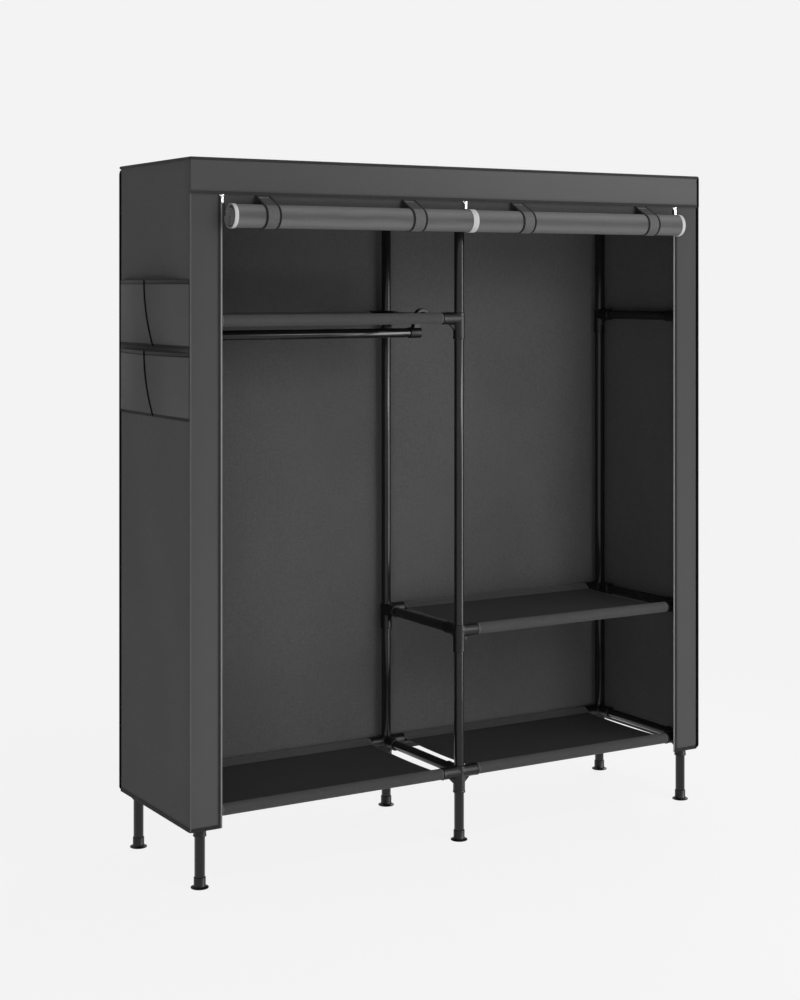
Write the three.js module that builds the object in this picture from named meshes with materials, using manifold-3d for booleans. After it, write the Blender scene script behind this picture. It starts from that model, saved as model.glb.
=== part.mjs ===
// A free-standing wardrobe: a frame of steel tubes in moulded plastic fittings, four cloth
// shelves, one hanging rail, and a sewn cloth cover with two roll-up doors and side pockets.
// Millimetres. +X is to the right, +Y to the back, +Z up. The doors face -Y.

import * as THREE from 'three';
import { mergeVertices } from 'three/addons/utils/BufferGeometryUtils.js';
import Module from 'manifold-3d';

const wasm = await Module();
wasm.setup();

// Gaps between pieces
const seatGap = 0.3;
const cutOverrun = 2;

// Frame of tubes
const bayPitch = 804;
const ladderDepth = 406;
const tubeRadius = 14;
const tubeWall = 1.2;
const tubeSides = 12;
const bottomLevel = 193;
const middleLevel = 592;
const upperLevel = 1476;

// Moulded fittings
const socketWall = 2.7;
const socketReach = 60;
const socketFloor = 4.5;
const fittingDrop = 59;
const fittingRise = 15;
const topFittingRise = 18;
const postCapDepth = 26;
const gussetReach = 34.5;
const gussetDrop = 34;
const gussetThickness = 5;
const gussetRoot = 5;

// Feet
const footHeight = 28;
const footSocketWall = 1.7;
const footFloor = 6;
const flangeRadius = 23.7;
const flangeEdge = 5;
const flangeRise = 9;
const flangeChamfer = 2;

// Cloth cover
const coverTop = 1900;
const coverHem = 155;
const coverSideReach = 41;
const coverFrontReach = 30.7;
const clothWall = 1.5;
const stileWidth = 86.7;
const headerHeight = 91.5;

// Shelves
const sleeveWall = 1.5;
const shelfThickness = 2;

// Zip tapes and sliders
const tapeWidth = 4.4;
const sliderWidth = 12;
const sliderHeight = 8.5;
const sliderPlate = 3.3;
const sliderBackPlate = 2;
const sliderBelowHeader = 2;
const centreWebWidth = 1.2;
const earThickness = 1.2;
const earReach = 3.6;
const earHeight = 3.2;
const earTopInset = 0.4;
const pinRadius = 1;
const pinSides = 8;

// Pull tabs
const pullWidth = 7;
const pullLength = 21;
const pullThickness = 1.4;
const pullShoulder = 3.4;
const eyeRadius = 1.9;

// Rolled doors
const rollRadius = 31;
const rollStandoff = 5.3;
const rollDrop = 59;
const doorEndGap = 6;
const doorGap = 2;
const rollCoreRadius = 6;
const rollTurns = 6;
const rollStepsPerTurn = 20;
const rollClothWall = 1.6;
const doorBend = 10;
const doorStripTail = 3;

// Straps round the rolled doors
const strapWidth = 45;
const strapThickness = 1.1;
const strapTail = 22;
const strapBendDrop = 3;
const strapInnerInset = 181;
const strapOuterInset = 116.6;
const strapRearRise = 12.5;
const strapArcSteps = 18;

// Hanging rail and its end hooks
const railRadius = 12.5;
const railDrop = 46;
const railInsert = 30;
const capRadius = 14.5;
const capLength = 38;
const capOffset = 6;
const hookWall = 11.2;
const hookWidth = 18;
const hookLip = 6;
const hookFootSpread = 7;
const hookArcSteps = 10;

// Side pockets
const pocketBulge = 26;
const pocketSideMargin = 5.5;
const pocketSeam = 8;
const pocketWebWidth = 3;
const upperPocketBottom = 1409;
const upperPocketHeight = 174;
const lowerPocketBottom = 1222;
const lowerPocketHeight = 171;
const pocketColumns = 12;
const pocketRows = 6;

// Sizes worked out from the ones above
const halfDepth = ladderDepth / 2;
const coverHalfWidth = bayPitch + coverSideReach;
const coverHalfDepth = halfDepth + coverFrontReach;
const coverUnderside = coverTop - clothWall;
const panelTop = coverUnderside - seatGap;
const topLevel = coverUnderside - seatGap - topFittingRise;
const socketBore = tubeRadius + seatGap;
const socketRadius = socketBore + socketWall;
const tubeBore = tubeRadius - tubeWall;
const socketBlindEnd = tubeBore + socketFloor;
const barEnd = socketBlindEnd + seatGap;
const sleeveEnd = socketReach + seatGap;
const sleeveRadius = tubeRadius + sleeveWall;
const postFoot = footFloor + seatGap;
const stileFront = -coverHalfDepth;
const stileBack = stileFront + clothWall;
const stileInner = coverHalfWidth - stileWidth;
const headerBottom = coverTop - headerHeight;
const headerBack = stileFront - strapThickness - seatGap - seatGap;
const headerFront = headerBack - clothWall;
const tapeOuter = stileInner - seatGap;
const tapeInner = tapeOuter - tapeWidth;
const tapeCentre = tapeOuter - tapeWidth / 2;
const sliderTop = headerBottom - sliderBelowHeader;
const sliderBottom = sliderTop - sliderHeight;
const rollAxisY = stileFront - rollStandoff - rollRadius;
const rollAxisZ = headerBottom - rollDrop;
const doorOuterEnd = tapeInner - doorEndGap;
const doorInnerEnd = doorGap / 2;
const doorWidth = doorOuterEnd - doorInnerEnd;
const doorCentre = (doorOuterEnd + doorInnerEnd) / 2;
const strapPlaces = {
  inner: doorInnerEnd + strapInnerInset,
  outer: doorOuterEnd - strapOuterInset,
};

// The origin is on the floor, under the middle of the whole object's box, so that the rolled
// doors in front and the pockets on the left are counted.
const pocketFront = pocketBulge + clothWall + seatGap;
const rollFront = rollStandoff + rollRadius + rollRadius + seatGap + strapThickness;
const wardrobe = new THREE.Group();
wardrobe.name = 'wardrobe';
wardrobe.position.set(pocketFront / 2, rollFront / 2, 0);

// Materials
const paint = (color, roughness, metalness) =>
  new THREE.MeshStandardMaterial({ color, roughness, metalness });
const materials = {
  tube: paint(0x4a4a4a, 0.45, 0.3),
  fitting: paint(0x262626, 0.6, 0),
  cloth: paint(0x4c4c4c, 0.95, 0),
  innerCloth: paint(0x333333, 0.95, 0),
  strap: paint(0x484848, 0.9, 0),
  tape: paint(0x8a8a8a, 0.8, 0),
  metal: paint(0xd8d8d8, 0.25, 1),
};

// Turns a closed geometry into a solid that can be joined and cut.
function toSolid(geometry) {
  const bare = geometry.clone();
  bare.deleteAttribute('normal');
  bare.deleteAttribute('uv');
  const merged = mergeVertices(bare);
  return new wasm.Manifold(new wasm.Mesh({
    numProp: 3,
    vertProperties: new Float32Array(merged.attributes.position.array),
    triVerts: new Uint32Array(merged.index.array),
  }));
}

// Turns a solid back into a geometry.
function toGeometry(solid) {
  const { vertProperties, triVerts } = solid.getMesh();
  const geometry = new THREE.BufferGeometry();
  geometry.setAttribute('position', new THREE.BufferAttribute(vertProperties, 3));
  geometry.setIndex(new THREE.BufferAttribute(triVerts, 1));
  geometry.computeVertexNormals();
  return geometry;
}

const join = (solids) => solids.reduce((whole, solid) => whole.add(solid));
const cut = (solid, cutters) => cutters.reduce((whole, cutter) => whole.subtract(cutter), solid);

// Adds a named mesh to the wardrobe.
function addPiece(name, shape, material, x, y, z) {
  const geometry = shape.isBufferGeometry ? shape : toGeometry(shape);
  const mesh = new THREE.Mesh(geometry, material);
  mesh.name = name;
  mesh.position.set(x, y, z);
  wardrobe.add(mesh);
}

// A box between two corners.
function boxBetween(x0, x1, y0, y1, z0, z1) {
  const box = new THREE.BoxGeometry(x1 - x0, y1 - y0, z1 - z0);
  return box.translate((x0 + x1) / 2, (y0 + y1) / 2, (z0 + z1) / 2);
}

// A round bar along X, Y or Z, from start to end.
function barAlong(axis, radius, start, end, sides) {
  const bar = new THREE.CylinderGeometry(radius, radius, end - start, sides);
  const middle = (start + end) / 2;
  if (axis === 'x') return bar.rotateZ(-Math.PI / 2).translate(middle, 0, 0);
  if (axis === 'z') return bar.rotateX(Math.PI / 2).translate(0, 0, middle);
  return bar.translate(0, middle, 0);
}

// A flat outline in Y and Z, extruded along X about X = 0.
function extrudeAlongX(points, width) {
  const shape = new THREE.Shape(points.map(([y, z]) => new THREE.Vector2(y, z)));
  const geometry = new THREE.ExtrudeGeometry(shape, { depth: width, bevelEnabled: false });
  const turn = new THREE.Matrix4().makeBasis(
    new THREE.Vector3(0, 1, 0),
    new THREE.Vector3(0, 0, 1),
    new THREE.Vector3(1, 0, 0),
  );
  return geometry.translate(0, 0, -width / 2).applyMatrix4(turn);
}

// A flat outline in X and Z, extruded along Y about Y = 0.
function extrudeAlongY(points, width) {
  const shape = new THREE.Shape(points.map(([x, z]) => new THREE.Vector2(x, z)));
  const geometry = new THREE.ExtrudeGeometry(shape, { depth: width, bevelEnabled: false });
  return geometry.translate(0, 0, -width / 2).rotateX(Math.PI / 2);
}

// A tube open at both ends.
function tubeAlong(axis, radius, start, end) {
  const outside = toSolid(barAlong(axis, radius, start, end, tubeSides));
  const bore = barAlong(axis, radius - tubeWall, start - cutOverrun, end + cutOverrun, tubeSides);
  return cut(outside, [toSolid(bore)]);
}

// Posts

const directions = {
  right: 0,
  back: Math.PI / 2,
  left: Math.PI,
  front: -Math.PI / 2,
};

// The socket of a fitting, pointing along +X, turned to its direction.
function socketSolid(level, direction) {
  const socket = barAlong('x', socketRadius, 0, socketReach, tubeSides);
  return toSolid(socket.translate(0, 0, level).rotateZ(directions[direction]));
}

// The web under a socket.
function gussetSolid(level, direction) {
  const outline = [
    [0, -gussetRoot],
    [gussetReach, -gussetRoot],
    [gussetReach, -socketRadius],
    [socketRadius, -gussetDrop],
    [0, -gussetDrop],
  ];
  const gusset = extrudeAlongY(outline.map(([x, z]) => [x, z + level]), gussetThickness);
  return toSolid(gusset.rotateZ(directions[direction]));
}

// The bore that a bar's end sits in.
function socketBoreSolid(level, direction) {
  const bore = barAlong('x', socketBore, socketBlindEnd, socketReach + cutOverrun, tubeSides);
  return toSolid(bore.translate(0, 0, level).rotateZ(directions[direction]));
}

// One post with its four fittings. The post is open at its foot and closed at its top.
function postSolid(fittings) {
  const added = [toSolid(barAlong('z', tubeRadius, postFoot, topLevel, tubeSides))];
  const bores = [toSolid(barAlong('z', tubeBore, 0, topLevel - postCapDepth, tubeSides))];
  for (const { level, rise, sockets } of fittings) {
    const body = barAlong('z', socketRadius, level - fittingDrop, level + rise, tubeSides);
    added.push(toSolid(body));
    for (const direction of sockets) {
      added.push(socketSolid(level, direction), gussetSolid(level, direction));
      bores.push(socketBoreSolid(level, direction));
    }
  }
  return cut(join(added), bores);
}

const columns = { left: -bayPitch, centre: 0, right: bayPitch };
const rows = { front: -halfDepth, rear: halfDepth };
const levels = { bottom: bottomLevel, middle: middleLevel, upper: upperLevel, top: topLevel };

// The bars across the width that each column's fittings hold.
const sideSockets = {
  left: { bottom: ['right'], middle: [], upper: ['right'], top: ['right'] },
  centre: {
    bottom: ['left', 'right'],
    middle: ['right'],
    upper: ['left'],
    top: ['left', 'right'],
  },
  right: { bottom: ['left'], middle: ['left'], upper: [], top: ['left'] },
};

for (const [column, x] of Object.entries(columns)) {
  for (const [row, y] of Object.entries(rows)) {
    const inward = row === 'front' ? 'back' : 'front';
    const fittings = Object.entries(levels).map(([levelName, level]) => ({
      level,
      rise: levelName === 'top' ? topFittingRise : fittingRise,
      sockets: [inward, ...sideSockets[column][levelName]],
    }));
    addPiece(`post_${row}_${column}`, postSolid(fittings), materials.tube, x, y, 0);
  }
}

// Feet

// A moulded socket on a round flange.
function footGeometry() {
  const socketOuter = socketBore + footSocketWall;
  const profile = [
    [0, 0],
    [flangeRadius - flangeChamfer, 0],
    [flangeRadius, flangeChamfer],
    [flangeRadius, flangeEdge],
    [flangeRadius - flangeChamfer, flangeEdge + flangeChamfer],
    [socketOuter, flangeRise],
    [socketOuter, footHeight],
    [socketBore, footHeight],
    [socketBore, footFloor],
    [0, footFloor],
  ];
  const points = profile.map(([radius, height]) => new THREE.Vector2(radius, height));
  return new THREE.LatheGeometry(points, tubeSides).rotateX(Math.PI / 2);
}

for (const [column, x] of Object.entries(columns)) {
  for (const [row, y] of Object.entries(rows)) {
    addPiece(`foot_${row}_${column}`, toSolid(footGeometry()), materials.fitting, x, y, 0);
  }
}

// Bars of the frame

const depthBarReach = halfDepth - barEnd;

for (const [column, x] of Object.entries(columns)) {
  for (const [levelName, level] of Object.entries(levels)) {
    const bar = tubeAlong('y', tubeRadius, -depthBarReach, depthBarReach);
    addPiece(`depth_bar_${column}_${levelName}`, bar, materials.tube, x, 0, level);
  }
}

const bays = { left: -bayPitch / 2, right: bayPitch / 2 };
const widthBarReach = bayPitch / 2 - barEnd;
const shelfReach = bayPitch / 2 - sleeveEnd;

for (const [bay, x] of Object.entries(bays)) {
  for (const [row, y] of Object.entries(rows)) {
    const bar = tubeAlong('x', tubeRadius, -widthBarReach, widthBarReach);
    addPiece(`top_bar_${row}_${bay}`, bar, materials.tube, x, y, topLevel);
  }
}

// Shelves

// A cloth panel between two cloth sleeves, each with its width bar inside.
function shelfSolid() {
  const half = shelfThickness / 2;
  const added = [
    toSolid(boxBetween(-shelfReach, shelfReach, -halfDepth, halfDepth, -half, half)),
  ];
  const bores = [];
  for (const y of Object.values(rows)) {
    const bar = barAlong('x', tubeRadius, -widthBarReach, widthBarReach, tubeSides);
    const sleeve = barAlong('x', sleeveRadius, -shelfReach, shelfReach, tubeSides);
    const boreReach = widthBarReach + cutOverrun;
    const bore = barAlong('x', tubeBore, -boreReach, boreReach, tubeSides);
    added.push(toSolid(bar.translate(0, y, 0)), toSolid(sleeve.translate(0, y, 0)));
    bores.push(toSolid(bore.translate(0, y, 0)));
  }
  return cut(join(added), bores);
}

const shelves = [
  ['shelf_bottom_left', bays.left, bottomLevel],
  ['shelf_bottom_right', bays.right, bottomLevel],
  ['shelf_middle_right', bays.right, middleLevel],
  ['shelf_upper_left', bays.left, upperLevel],
];
for (const [name, x, level] of shelves) {
  addPiece(name, shelfSolid(), materials.innerCloth, x, 0, level);
}

// Cloth cover

const innerHalfWidth = coverHalfWidth - clothWall;
const coverPanels = [
  ['cover_top', -coverHalfWidth, coverHalfWidth, headerFront, coverHalfDepth,
    coverUnderside, coverTop],
  ['cover_back', -coverHalfWidth, coverHalfWidth, coverHalfDepth - clothWall, coverHalfDepth,
    coverHem, panelTop],
  ['cover_left_side', -coverHalfWidth, -innerHalfWidth, stileBack + seatGap,
    coverHalfDepth - clothWall - seatGap, coverHem, panelTop],
  ['cover_right_side', innerHalfWidth, coverHalfWidth, stileBack + seatGap,
    coverHalfDepth - clothWall - seatGap, coverHem, panelTop],
  ['cover_left_stile', -coverHalfWidth, -stileInner, stileFront, stileBack,
    coverHem, panelTop],
  ['cover_right_stile', stileInner, coverHalfWidth, stileFront, stileBack,
    coverHem, panelTop],
  ['cover_header', -coverHalfWidth, coverHalfWidth, headerFront, headerBack,
    headerBottom, panelTop],
];
for (const [name, ...corners] of coverPanels) {
  addPiece(name, boxBetween(...corners), materials.cloth, 0, 0, 0);
}

// Zip tapes, sliders and pull tabs

addPiece('zip_tape_left',
  boxBetween(-tapeOuter, -tapeInner, stileFront, stileBack, coverHem, panelTop),
  materials.tape, 0, 0, 0);
addPiece('zip_tape_right',
  boxBetween(tapeInner, tapeOuter, stileFront, stileBack, coverHem, panelTop),
  materials.tape, 0, 0, 0);

const sliderHalf = sliderWidth / 2;
const plateBack = -seatGap;
const plateFront = plateBack - sliderPlate;
const rearPlateFront = clothWall + seatGap;
const rearPlateBack = rearPlateFront + sliderBackPlate;
const pinStandoff = eyeRadius + seatGap;
const pinY = plateFront - pinStandoff;
const earTop = sliderHeight - earTopInset;
const pinZ = earTop - earHeight / 2;
const eyeHalf = pullShoulder / 2;
const earInner = eyeHalf + seatGap;
const earOuter = earInner + earThickness;
const shoulderDrop = Math.hypot(earReach - pinStandoff, earHeight / 2) + seatGap;

// A slider: a front plate and a back plate with the tape between them, joined by a web, and
// two ears with a pin for the pull tab. Its Y = 0 is the front of the tape.
function sliderSolid(webStart, webEnd) {
  const added = [
    toSolid(boxBetween(-sliderHalf, sliderHalf, plateFront, plateBack, 0, sliderHeight)),
    toSolid(boxBetween(-sliderHalf, sliderHalf, rearPlateFront, rearPlateBack,
      0, sliderHeight)),
    toSolid(boxBetween(webStart, webEnd, plateFront, rearPlateBack, 0, sliderHeight)),
    toSolid(barAlong('x', pinRadius, -earOuter, earOuter, pinSides).translate(0, pinY, pinZ)),
  ];
  for (const side of [-1, 1]) {
    const near = Math.min(side * earInner, side * earOuter);
    const far = Math.max(side * earInner, side * earOuter);
    added.push(toSolid(boxBetween(near, far, plateFront - earReach, plateBack,
      earTop - earHeight, earTop)));
  }
  return join(added);
}

// A pull tab: a flat tab that hangs from an eye on the slider's pin. Its origin is the pin.
function pullSolid() {
  const halfThickness = pullThickness / 2;
  const halfWidth = pullWidth / 2;
  const added = [
    toSolid(barAlong('x', eyeRadius, -eyeHalf, eyeHalf, pinSides)),
    toSolid(boxBetween(-eyeHalf, eyeHalf, -halfThickness, halfThickness,
      -shoulderDrop - eyeRadius, 0)),
    toSolid(boxBetween(-halfWidth, halfWidth, -halfThickness, halfThickness,
      -pullLength, -shoulderDrop)),
  ];
  const boreReach = eyeHalf + cutOverrun;
  const bore = barAlong('x', pinRadius + seatGap, -boreReach, boreReach, pinSides);
  return cut(join(added), [toSolid(bore)]);
}

const tapeClear = tapeWidth / 2 + seatGap;
const sliders = [
  ['left', -tapeCentre, tapeClear, sliderHalf],
  ['centre', 0, -centreWebWidth / 2, centreWebWidth / 2],
  ['right', tapeCentre, -sliderHalf, -tapeClear],
];
for (const [side, x, webStart, webEnd] of sliders) {
  addPiece(`zip_slider_${side}`, sliderSolid(webStart, webEnd), materials.metal,
    x, stileFront, sliderBottom);
  addPiece(`zip_pull_${side}`, pullSolid(), materials.metal,
    x, stileFront + pinY, sliderBottom + pinZ);
}

// Rolled doors

const rollPitch = (rollRadius - rollClothWall / 2 - rollCoreRadius) / rollTurns;

// The middle of the wound cloth, in turns from its outer end. The outer turn is round for two
// thirds of its way and then eases in, and the turns inside it wind in at a steady rate.
function windingRadius(turn) {
  const outer = rollRadius - rollClothWall / 2;
  const roundShare = 2 / 3;
  if (turn >= 1) return outer - rollPitch * turn;
  if (turn <= roundShare) return outer;
  return outer - rollPitch * THREE.MathUtils.smoothstep(turn, roundShare, 1);
}

// The wound cloth's outline, from the back of the roll down, under and up its front.
function rollOutline() {
  const outside = [];
  const inside = [];
  const steps = rollTurns * rollStepsPerTurn;
  for (let step = 0; step <= steps; step += 1) {
    const turn = step / rollStepsPerTurn;
    const angle = -turn * 2 * Math.PI;
    const outerRadius = windingRadius(turn) + rollClothWall / 2;
    const innerRadius = windingRadius(turn) - rollClothWall / 2;
    outside.push([outerRadius * Math.cos(angle), outerRadius * Math.sin(angle)]);
    inside.push([innerRadius * Math.cos(angle), innerRadius * Math.sin(angle)]);
  }
  return [...outside, ...inside.reverse()];
}

// The least clear space between two turns, measured between points of the outline.
function leastTurnGap(outline) {
  const count = outline.length / 2;
  const outside = outline.slice(0, count);
  const inside = outline.slice(count).reverse();
  let least = Infinity;
  for (let i = 0; i < count; i += 1) {
    for (let j = i + rollStepsPerTurn / 2; j < count; j += 1) {
      const gap = Math.hypot(inside[i][0] - outside[j][0], inside[i][1] - outside[j][1]);
      least = Math.min(least, gap);
    }
  }
  return least;
}
console.log(`least gap between the turns of a rolled door: ${leastTurnGap(rollOutline())} mm`);

// The top strip of a door, from under the cover's top down to the back of its roll.
function doorTopOutline() {
  const bendTop = sliderBottom - doorBend + clothWall;
  const bottom = rollAxisZ + doorStripTail;
  const rollBack = rollAxisY + rollRadius + seatGap;
  return [
    [stileFront, panelTop],
    [stileFront, bendTop],
    [rollBack, bottom],
    [rollBack + clothWall, bottom],
    [stileBack, bendTop],
    [stileBack, panelTop],
  ];
}

// A strap: down from under the header, round the front and the underside of the roll, and up
// behind the door. A ribbon of even thickness along its middle line, with the flats of its
// bend clear of the roll.
function strapOutline() {
  const flatShare = Math.cos(Math.PI / strapArcSteps);
  const radius = (rollRadius + seatGap) / flatShare + strapThickness / 2;
  const frontY = stileFront - seatGap - strapThickness / 2;
  const rearY = stileBack + seatGap + strapThickness / 2;
  const rearZ = rollAxisZ + strapRearRise;
  const frontZ = headerBottom - strapBendDrop;
  const middle = [[frontY, headerBottom + strapTail], [frontY, frontZ]];
  const start = tangentAngle(frontY, frontZ, radius, 1);
  const end = tangentAngle(rearY, rearZ, radius, -1) + 2 * Math.PI;
  for (let step = 0; step <= strapArcSteps; step += 1) {
    const angle = start + (end - start) * (step / strapArcSteps);
    middle.push([rollAxisY + radius * Math.cos(angle), rollAxisZ + radius * Math.sin(angle)]);
  }
  middle.push([rearY, rearZ], [rearY, headerBottom + strapTail]);
  return ribbonOutline(middle, strapThickness);
}

// Where a straight line from a point touches a circle about the roll's axis.
function tangentAngle(y, z, radius, side) {
  const away = Math.atan2(z - rollAxisZ, y - rollAxisY);
  const distance = Math.hypot(y - rollAxisY, z - rollAxisZ);
  return away + side * Math.acos(radius / distance);
}

// The outline of a ribbon of even thickness along a line of points.
function ribbonOutline(middle, thickness) {
  const offset = (side) => middle.map((point, index) => {
    const before = middle[Math.max(index - 1, 0)];
    const after = middle[Math.min(index + 1, middle.length - 1)];
    const into = unit(point[0] - before[0], point[1] - before[1]);
    const out = unit(after[0] - point[0], after[1] - point[1]);
    const along = unit(into[0] + out[0], into[1] + out[1]);
    const stretch = 1 / (along[0] * (out[0] || into[0]) + along[1] * (out[1] || into[1]));
    const reach = side * (thickness / 2) * stretch;
    return [point[0] - along[1] * reach, point[1] + along[0] * reach];
  });
  return [...offset(1), ...offset(-1).reverse()];
}

function unit(y, z) {
  const length = Math.hypot(y, z);
  return length > 0 ? [y / length, z / length] : [0, 0];
}

for (const [side, sign] of [['left', -1], ['right', 1]]) {
  const x = sign * doorCentre;
  addPiece(`door_roll_${side}`, toSolid(extrudeAlongX(rollOutline(), doorWidth)),
    materials.cloth, x, rollAxisY, rollAxisZ);
  addPiece(`door_top_${side}`, toSolid(extrudeAlongX(doorTopOutline(), doorWidth)),
    materials.cloth, x, 0, 0);
  for (const [place, reach] of Object.entries(strapPlaces)) {
    addPiece(`strap_${side}_${place}`, toSolid(extrudeAlongX(strapOutline(), strapWidth)),
      materials.strap, sign * reach, 0, 0);
  }
}

// Hanging rail

const railZ = upperLevel - railDrop;
const capFar = capOffset + capLength;
const railReach = bayPitch / 2 - capFar + railInsert - seatGap;
addPiece('hanging_rail', tubeAlong('x', railRadius, -railReach, railReach), materials.tube,
  bays.left, 0, railZ);

// An end hook: a cap over the rail's end, and a hook over the depth bar above. Its origin is
// the depth bar's axis, and its cap points along -X.
function railHookSolid() {
  const inner = tubeRadius + seatGap;
  const outer = inner + hookWall;
  const arc = (radius, from, to) => {
    const points = [];
    for (let step = 0; step <= hookArcSteps; step += 1) {
      const angle = from + (to - from) * (step / hookArcSteps);
      points.push([radius * Math.cos(angle), radius * Math.sin(angle)]);
    }
    return points;
  };
  const shankBottom = -railDrop + capRadius - clothWall;
  const shankTop = -hookLip;
  const outline = [
    [outer, -hookLip],
    ...arc(outer, 0, Math.PI),
    [-outer, shankTop],
    [-outer - hookFootSpread, shankBottom],
    [-inner + hookFootSpread, shankBottom],
    [-inner, shankTop],
    ...arc(inner, Math.PI, 0),
    [inner, -hookLip],
  ];
  const cap = barAlong('x', capRadius, -capFar, -capOffset, tubeSides);
  const bore = barAlong('x', railRadius + seatGap, -capFar - cutOverrun, railInsert - capFar,
    tubeSides);
  return cut(join([
    toSolid(extrudeAlongY(outline, hookWidth)),
    toSolid(cap.translate(0, 0, -railDrop)),
  ]), [toSolid(bore.translate(0, 0, -railDrop))]);
}

addPiece('rail_hook_right', railHookSolid(), materials.fitting, columns.centre, 0, upperLevel);
const leftHook = toGeometry(railHookSolid()).rotateZ(Math.PI);
addPiece('rail_hook_left', leftHook, materials.fitting, columns.left, 0, upperLevel);

// Side pockets

// How far the pocket's cloth stands off the side, across its width and up its height.
function pocketSwell(acrossShare, upShare) {
  const rise = 1 - (1 - Math.min(upShare, 1)) ** 2;
  return pocketBulge * Math.sin(Math.PI * acrossShare) * rise;
}

// A closed block between the side of the cover and the swollen cloth, or part of it.
function pocketBlock(acrossStart, acrossEnd, bottom, top, height, back, wall) {
  const width = coverHalfDepth * 2 - pocketSideMargin * 2;
  const points = [];
  const index = (column, row, layer) =>
    (layer * (pocketColumns + 1) + column) * (pocketRows + 1) + row;
  for (const layer of [0, 1]) {
    for (let column = 0; column <= pocketColumns; column += 1) {
      for (let row = 0; row <= pocketRows; row += 1) {
        const along = acrossStart + (acrossEnd - acrossStart) * (column / pocketColumns);
        const up = bottom + (top - bottom) * (row / pocketRows);
        const swell = pocketSwell(along / width, up / height);
        points.push(layer ? -swell - wall : back, along - width / 2, up);
      }
    }
  }
  const faces = [];
  const quad = (a, b, c, d) => faces.push(a, b, c, a, c, d);
  for (let column = 0; column < pocketColumns; column += 1) {
    for (let row = 0; row < pocketRows; row += 1) {
      quad(index(column, row, 1), index(column, row + 1, 1),
        index(column + 1, row + 1, 1), index(column + 1, row, 1));
      quad(index(column, row, 0), index(column + 1, row, 0),
        index(column + 1, row + 1, 0), index(column, row + 1, 0));
    }
    quad(index(column, 0, 0), index(column, 0, 1),
      index(column + 1, 0, 1), index(column + 1, 0, 0));
    quad(index(column, pocketRows, 0), index(column + 1, pocketRows, 0),
      index(column + 1, pocketRows, 1), index(column, pocketRows, 1));
  }
  for (let row = 0; row < pocketRows; row += 1) {
    quad(index(0, row, 0), index(0, row + 1, 0), index(0, row + 1, 1), index(0, row, 1));
    quad(index(pocketColumns, row, 0), index(pocketColumns, row, 1),
      index(pocketColumns, row + 1, 1), index(pocketColumns, row + 1, 0));
  }
  const geometry = new THREE.BufferGeometry();
  geometry.setAttribute('position', new THREE.Float32BufferAttribute(points, 3));
  geometry.setIndex(faces);
  return toSolid(geometry);
}

// A row of two pockets: swollen cloth sewn down at its ends and bottom, with a web between
// the two. Its Y = 0 is the middle of the side, its Z = 0 its bottom.
function pocketSolid(height) {
  const width = coverHalfDepth * 2 - pocketSideMargin * 2;
  const middle = width / 2;
  const outside = pocketBlock(0, width, 0, height, height, 0, clothWall);
  const top = height + cutOverrun;
  const halfWeb = pocketWebWidth / 2;
  const rear = pocketBlock(pocketSeam, middle - halfWeb, pocketSeam, top, height, cutOverrun, 0);
  const front = pocketBlock(middle + halfWeb, width - pocketSeam, pocketSeam, top, height,
    cutOverrun, 0);
  return cut(outside, [rear, front]);
}

const pocketX = -coverHalfWidth - seatGap;
addPiece('pocket_row_upper', pocketSolid(upperPocketHeight), materials.cloth,
  pocketX, 0, upperPocketBottom);
addPiece('pocket_row_lower', pocketSolid(lowerPocketHeight), materials.cloth,
  pocketX, 0, lowerPocketBottom);

export default wardrobe;
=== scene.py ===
# %% [markdown]
# # A free-standing cloth wardrobe
# The real wardrobe is a frame of steel tubes pushed into moulded fittings, with cloth shelves
# and a hanging rail, in a sewn cover whose two doors roll up and are held by straps.
# The script starts from an exact, faceted model of the frame and the cover, and gives each
# piece its fine shape and its finish. Everything is in metres, with +Z up and the doors at -Y.

# %% Load the exact model
import math

import bpy
from mathutils import Matrix, Vector


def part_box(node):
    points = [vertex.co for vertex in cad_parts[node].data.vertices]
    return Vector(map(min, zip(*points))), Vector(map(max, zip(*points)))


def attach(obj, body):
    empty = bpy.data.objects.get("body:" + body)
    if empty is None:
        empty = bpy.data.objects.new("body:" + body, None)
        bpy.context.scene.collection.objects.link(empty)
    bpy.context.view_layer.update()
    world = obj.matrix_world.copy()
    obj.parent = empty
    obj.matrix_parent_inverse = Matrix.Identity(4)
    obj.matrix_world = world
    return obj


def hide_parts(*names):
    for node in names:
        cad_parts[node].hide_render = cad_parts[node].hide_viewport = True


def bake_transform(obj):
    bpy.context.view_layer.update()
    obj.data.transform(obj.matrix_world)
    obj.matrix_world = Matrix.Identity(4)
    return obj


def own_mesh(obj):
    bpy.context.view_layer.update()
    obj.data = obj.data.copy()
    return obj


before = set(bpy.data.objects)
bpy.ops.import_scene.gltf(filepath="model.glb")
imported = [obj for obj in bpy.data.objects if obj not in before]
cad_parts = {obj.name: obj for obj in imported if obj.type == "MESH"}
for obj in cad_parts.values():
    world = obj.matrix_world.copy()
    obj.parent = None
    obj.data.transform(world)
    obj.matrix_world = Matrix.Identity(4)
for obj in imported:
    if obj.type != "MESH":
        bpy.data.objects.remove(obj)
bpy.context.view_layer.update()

# %% [markdown]
# ## Where things are
# The exact model says where every piece is, so no place is typed twice. The posts, the bars
# and the camera are placed from the numbers read here, and later cells read other boxes.

# %% Places read from the exact model
columns = ("left", "centre", "right")
rows = ("front", "rear")
sides = ("left", "right")


def middle_of(node):
    """The middle of a node's box."""
    low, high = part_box(node)
    return (low + high) / 2


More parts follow.
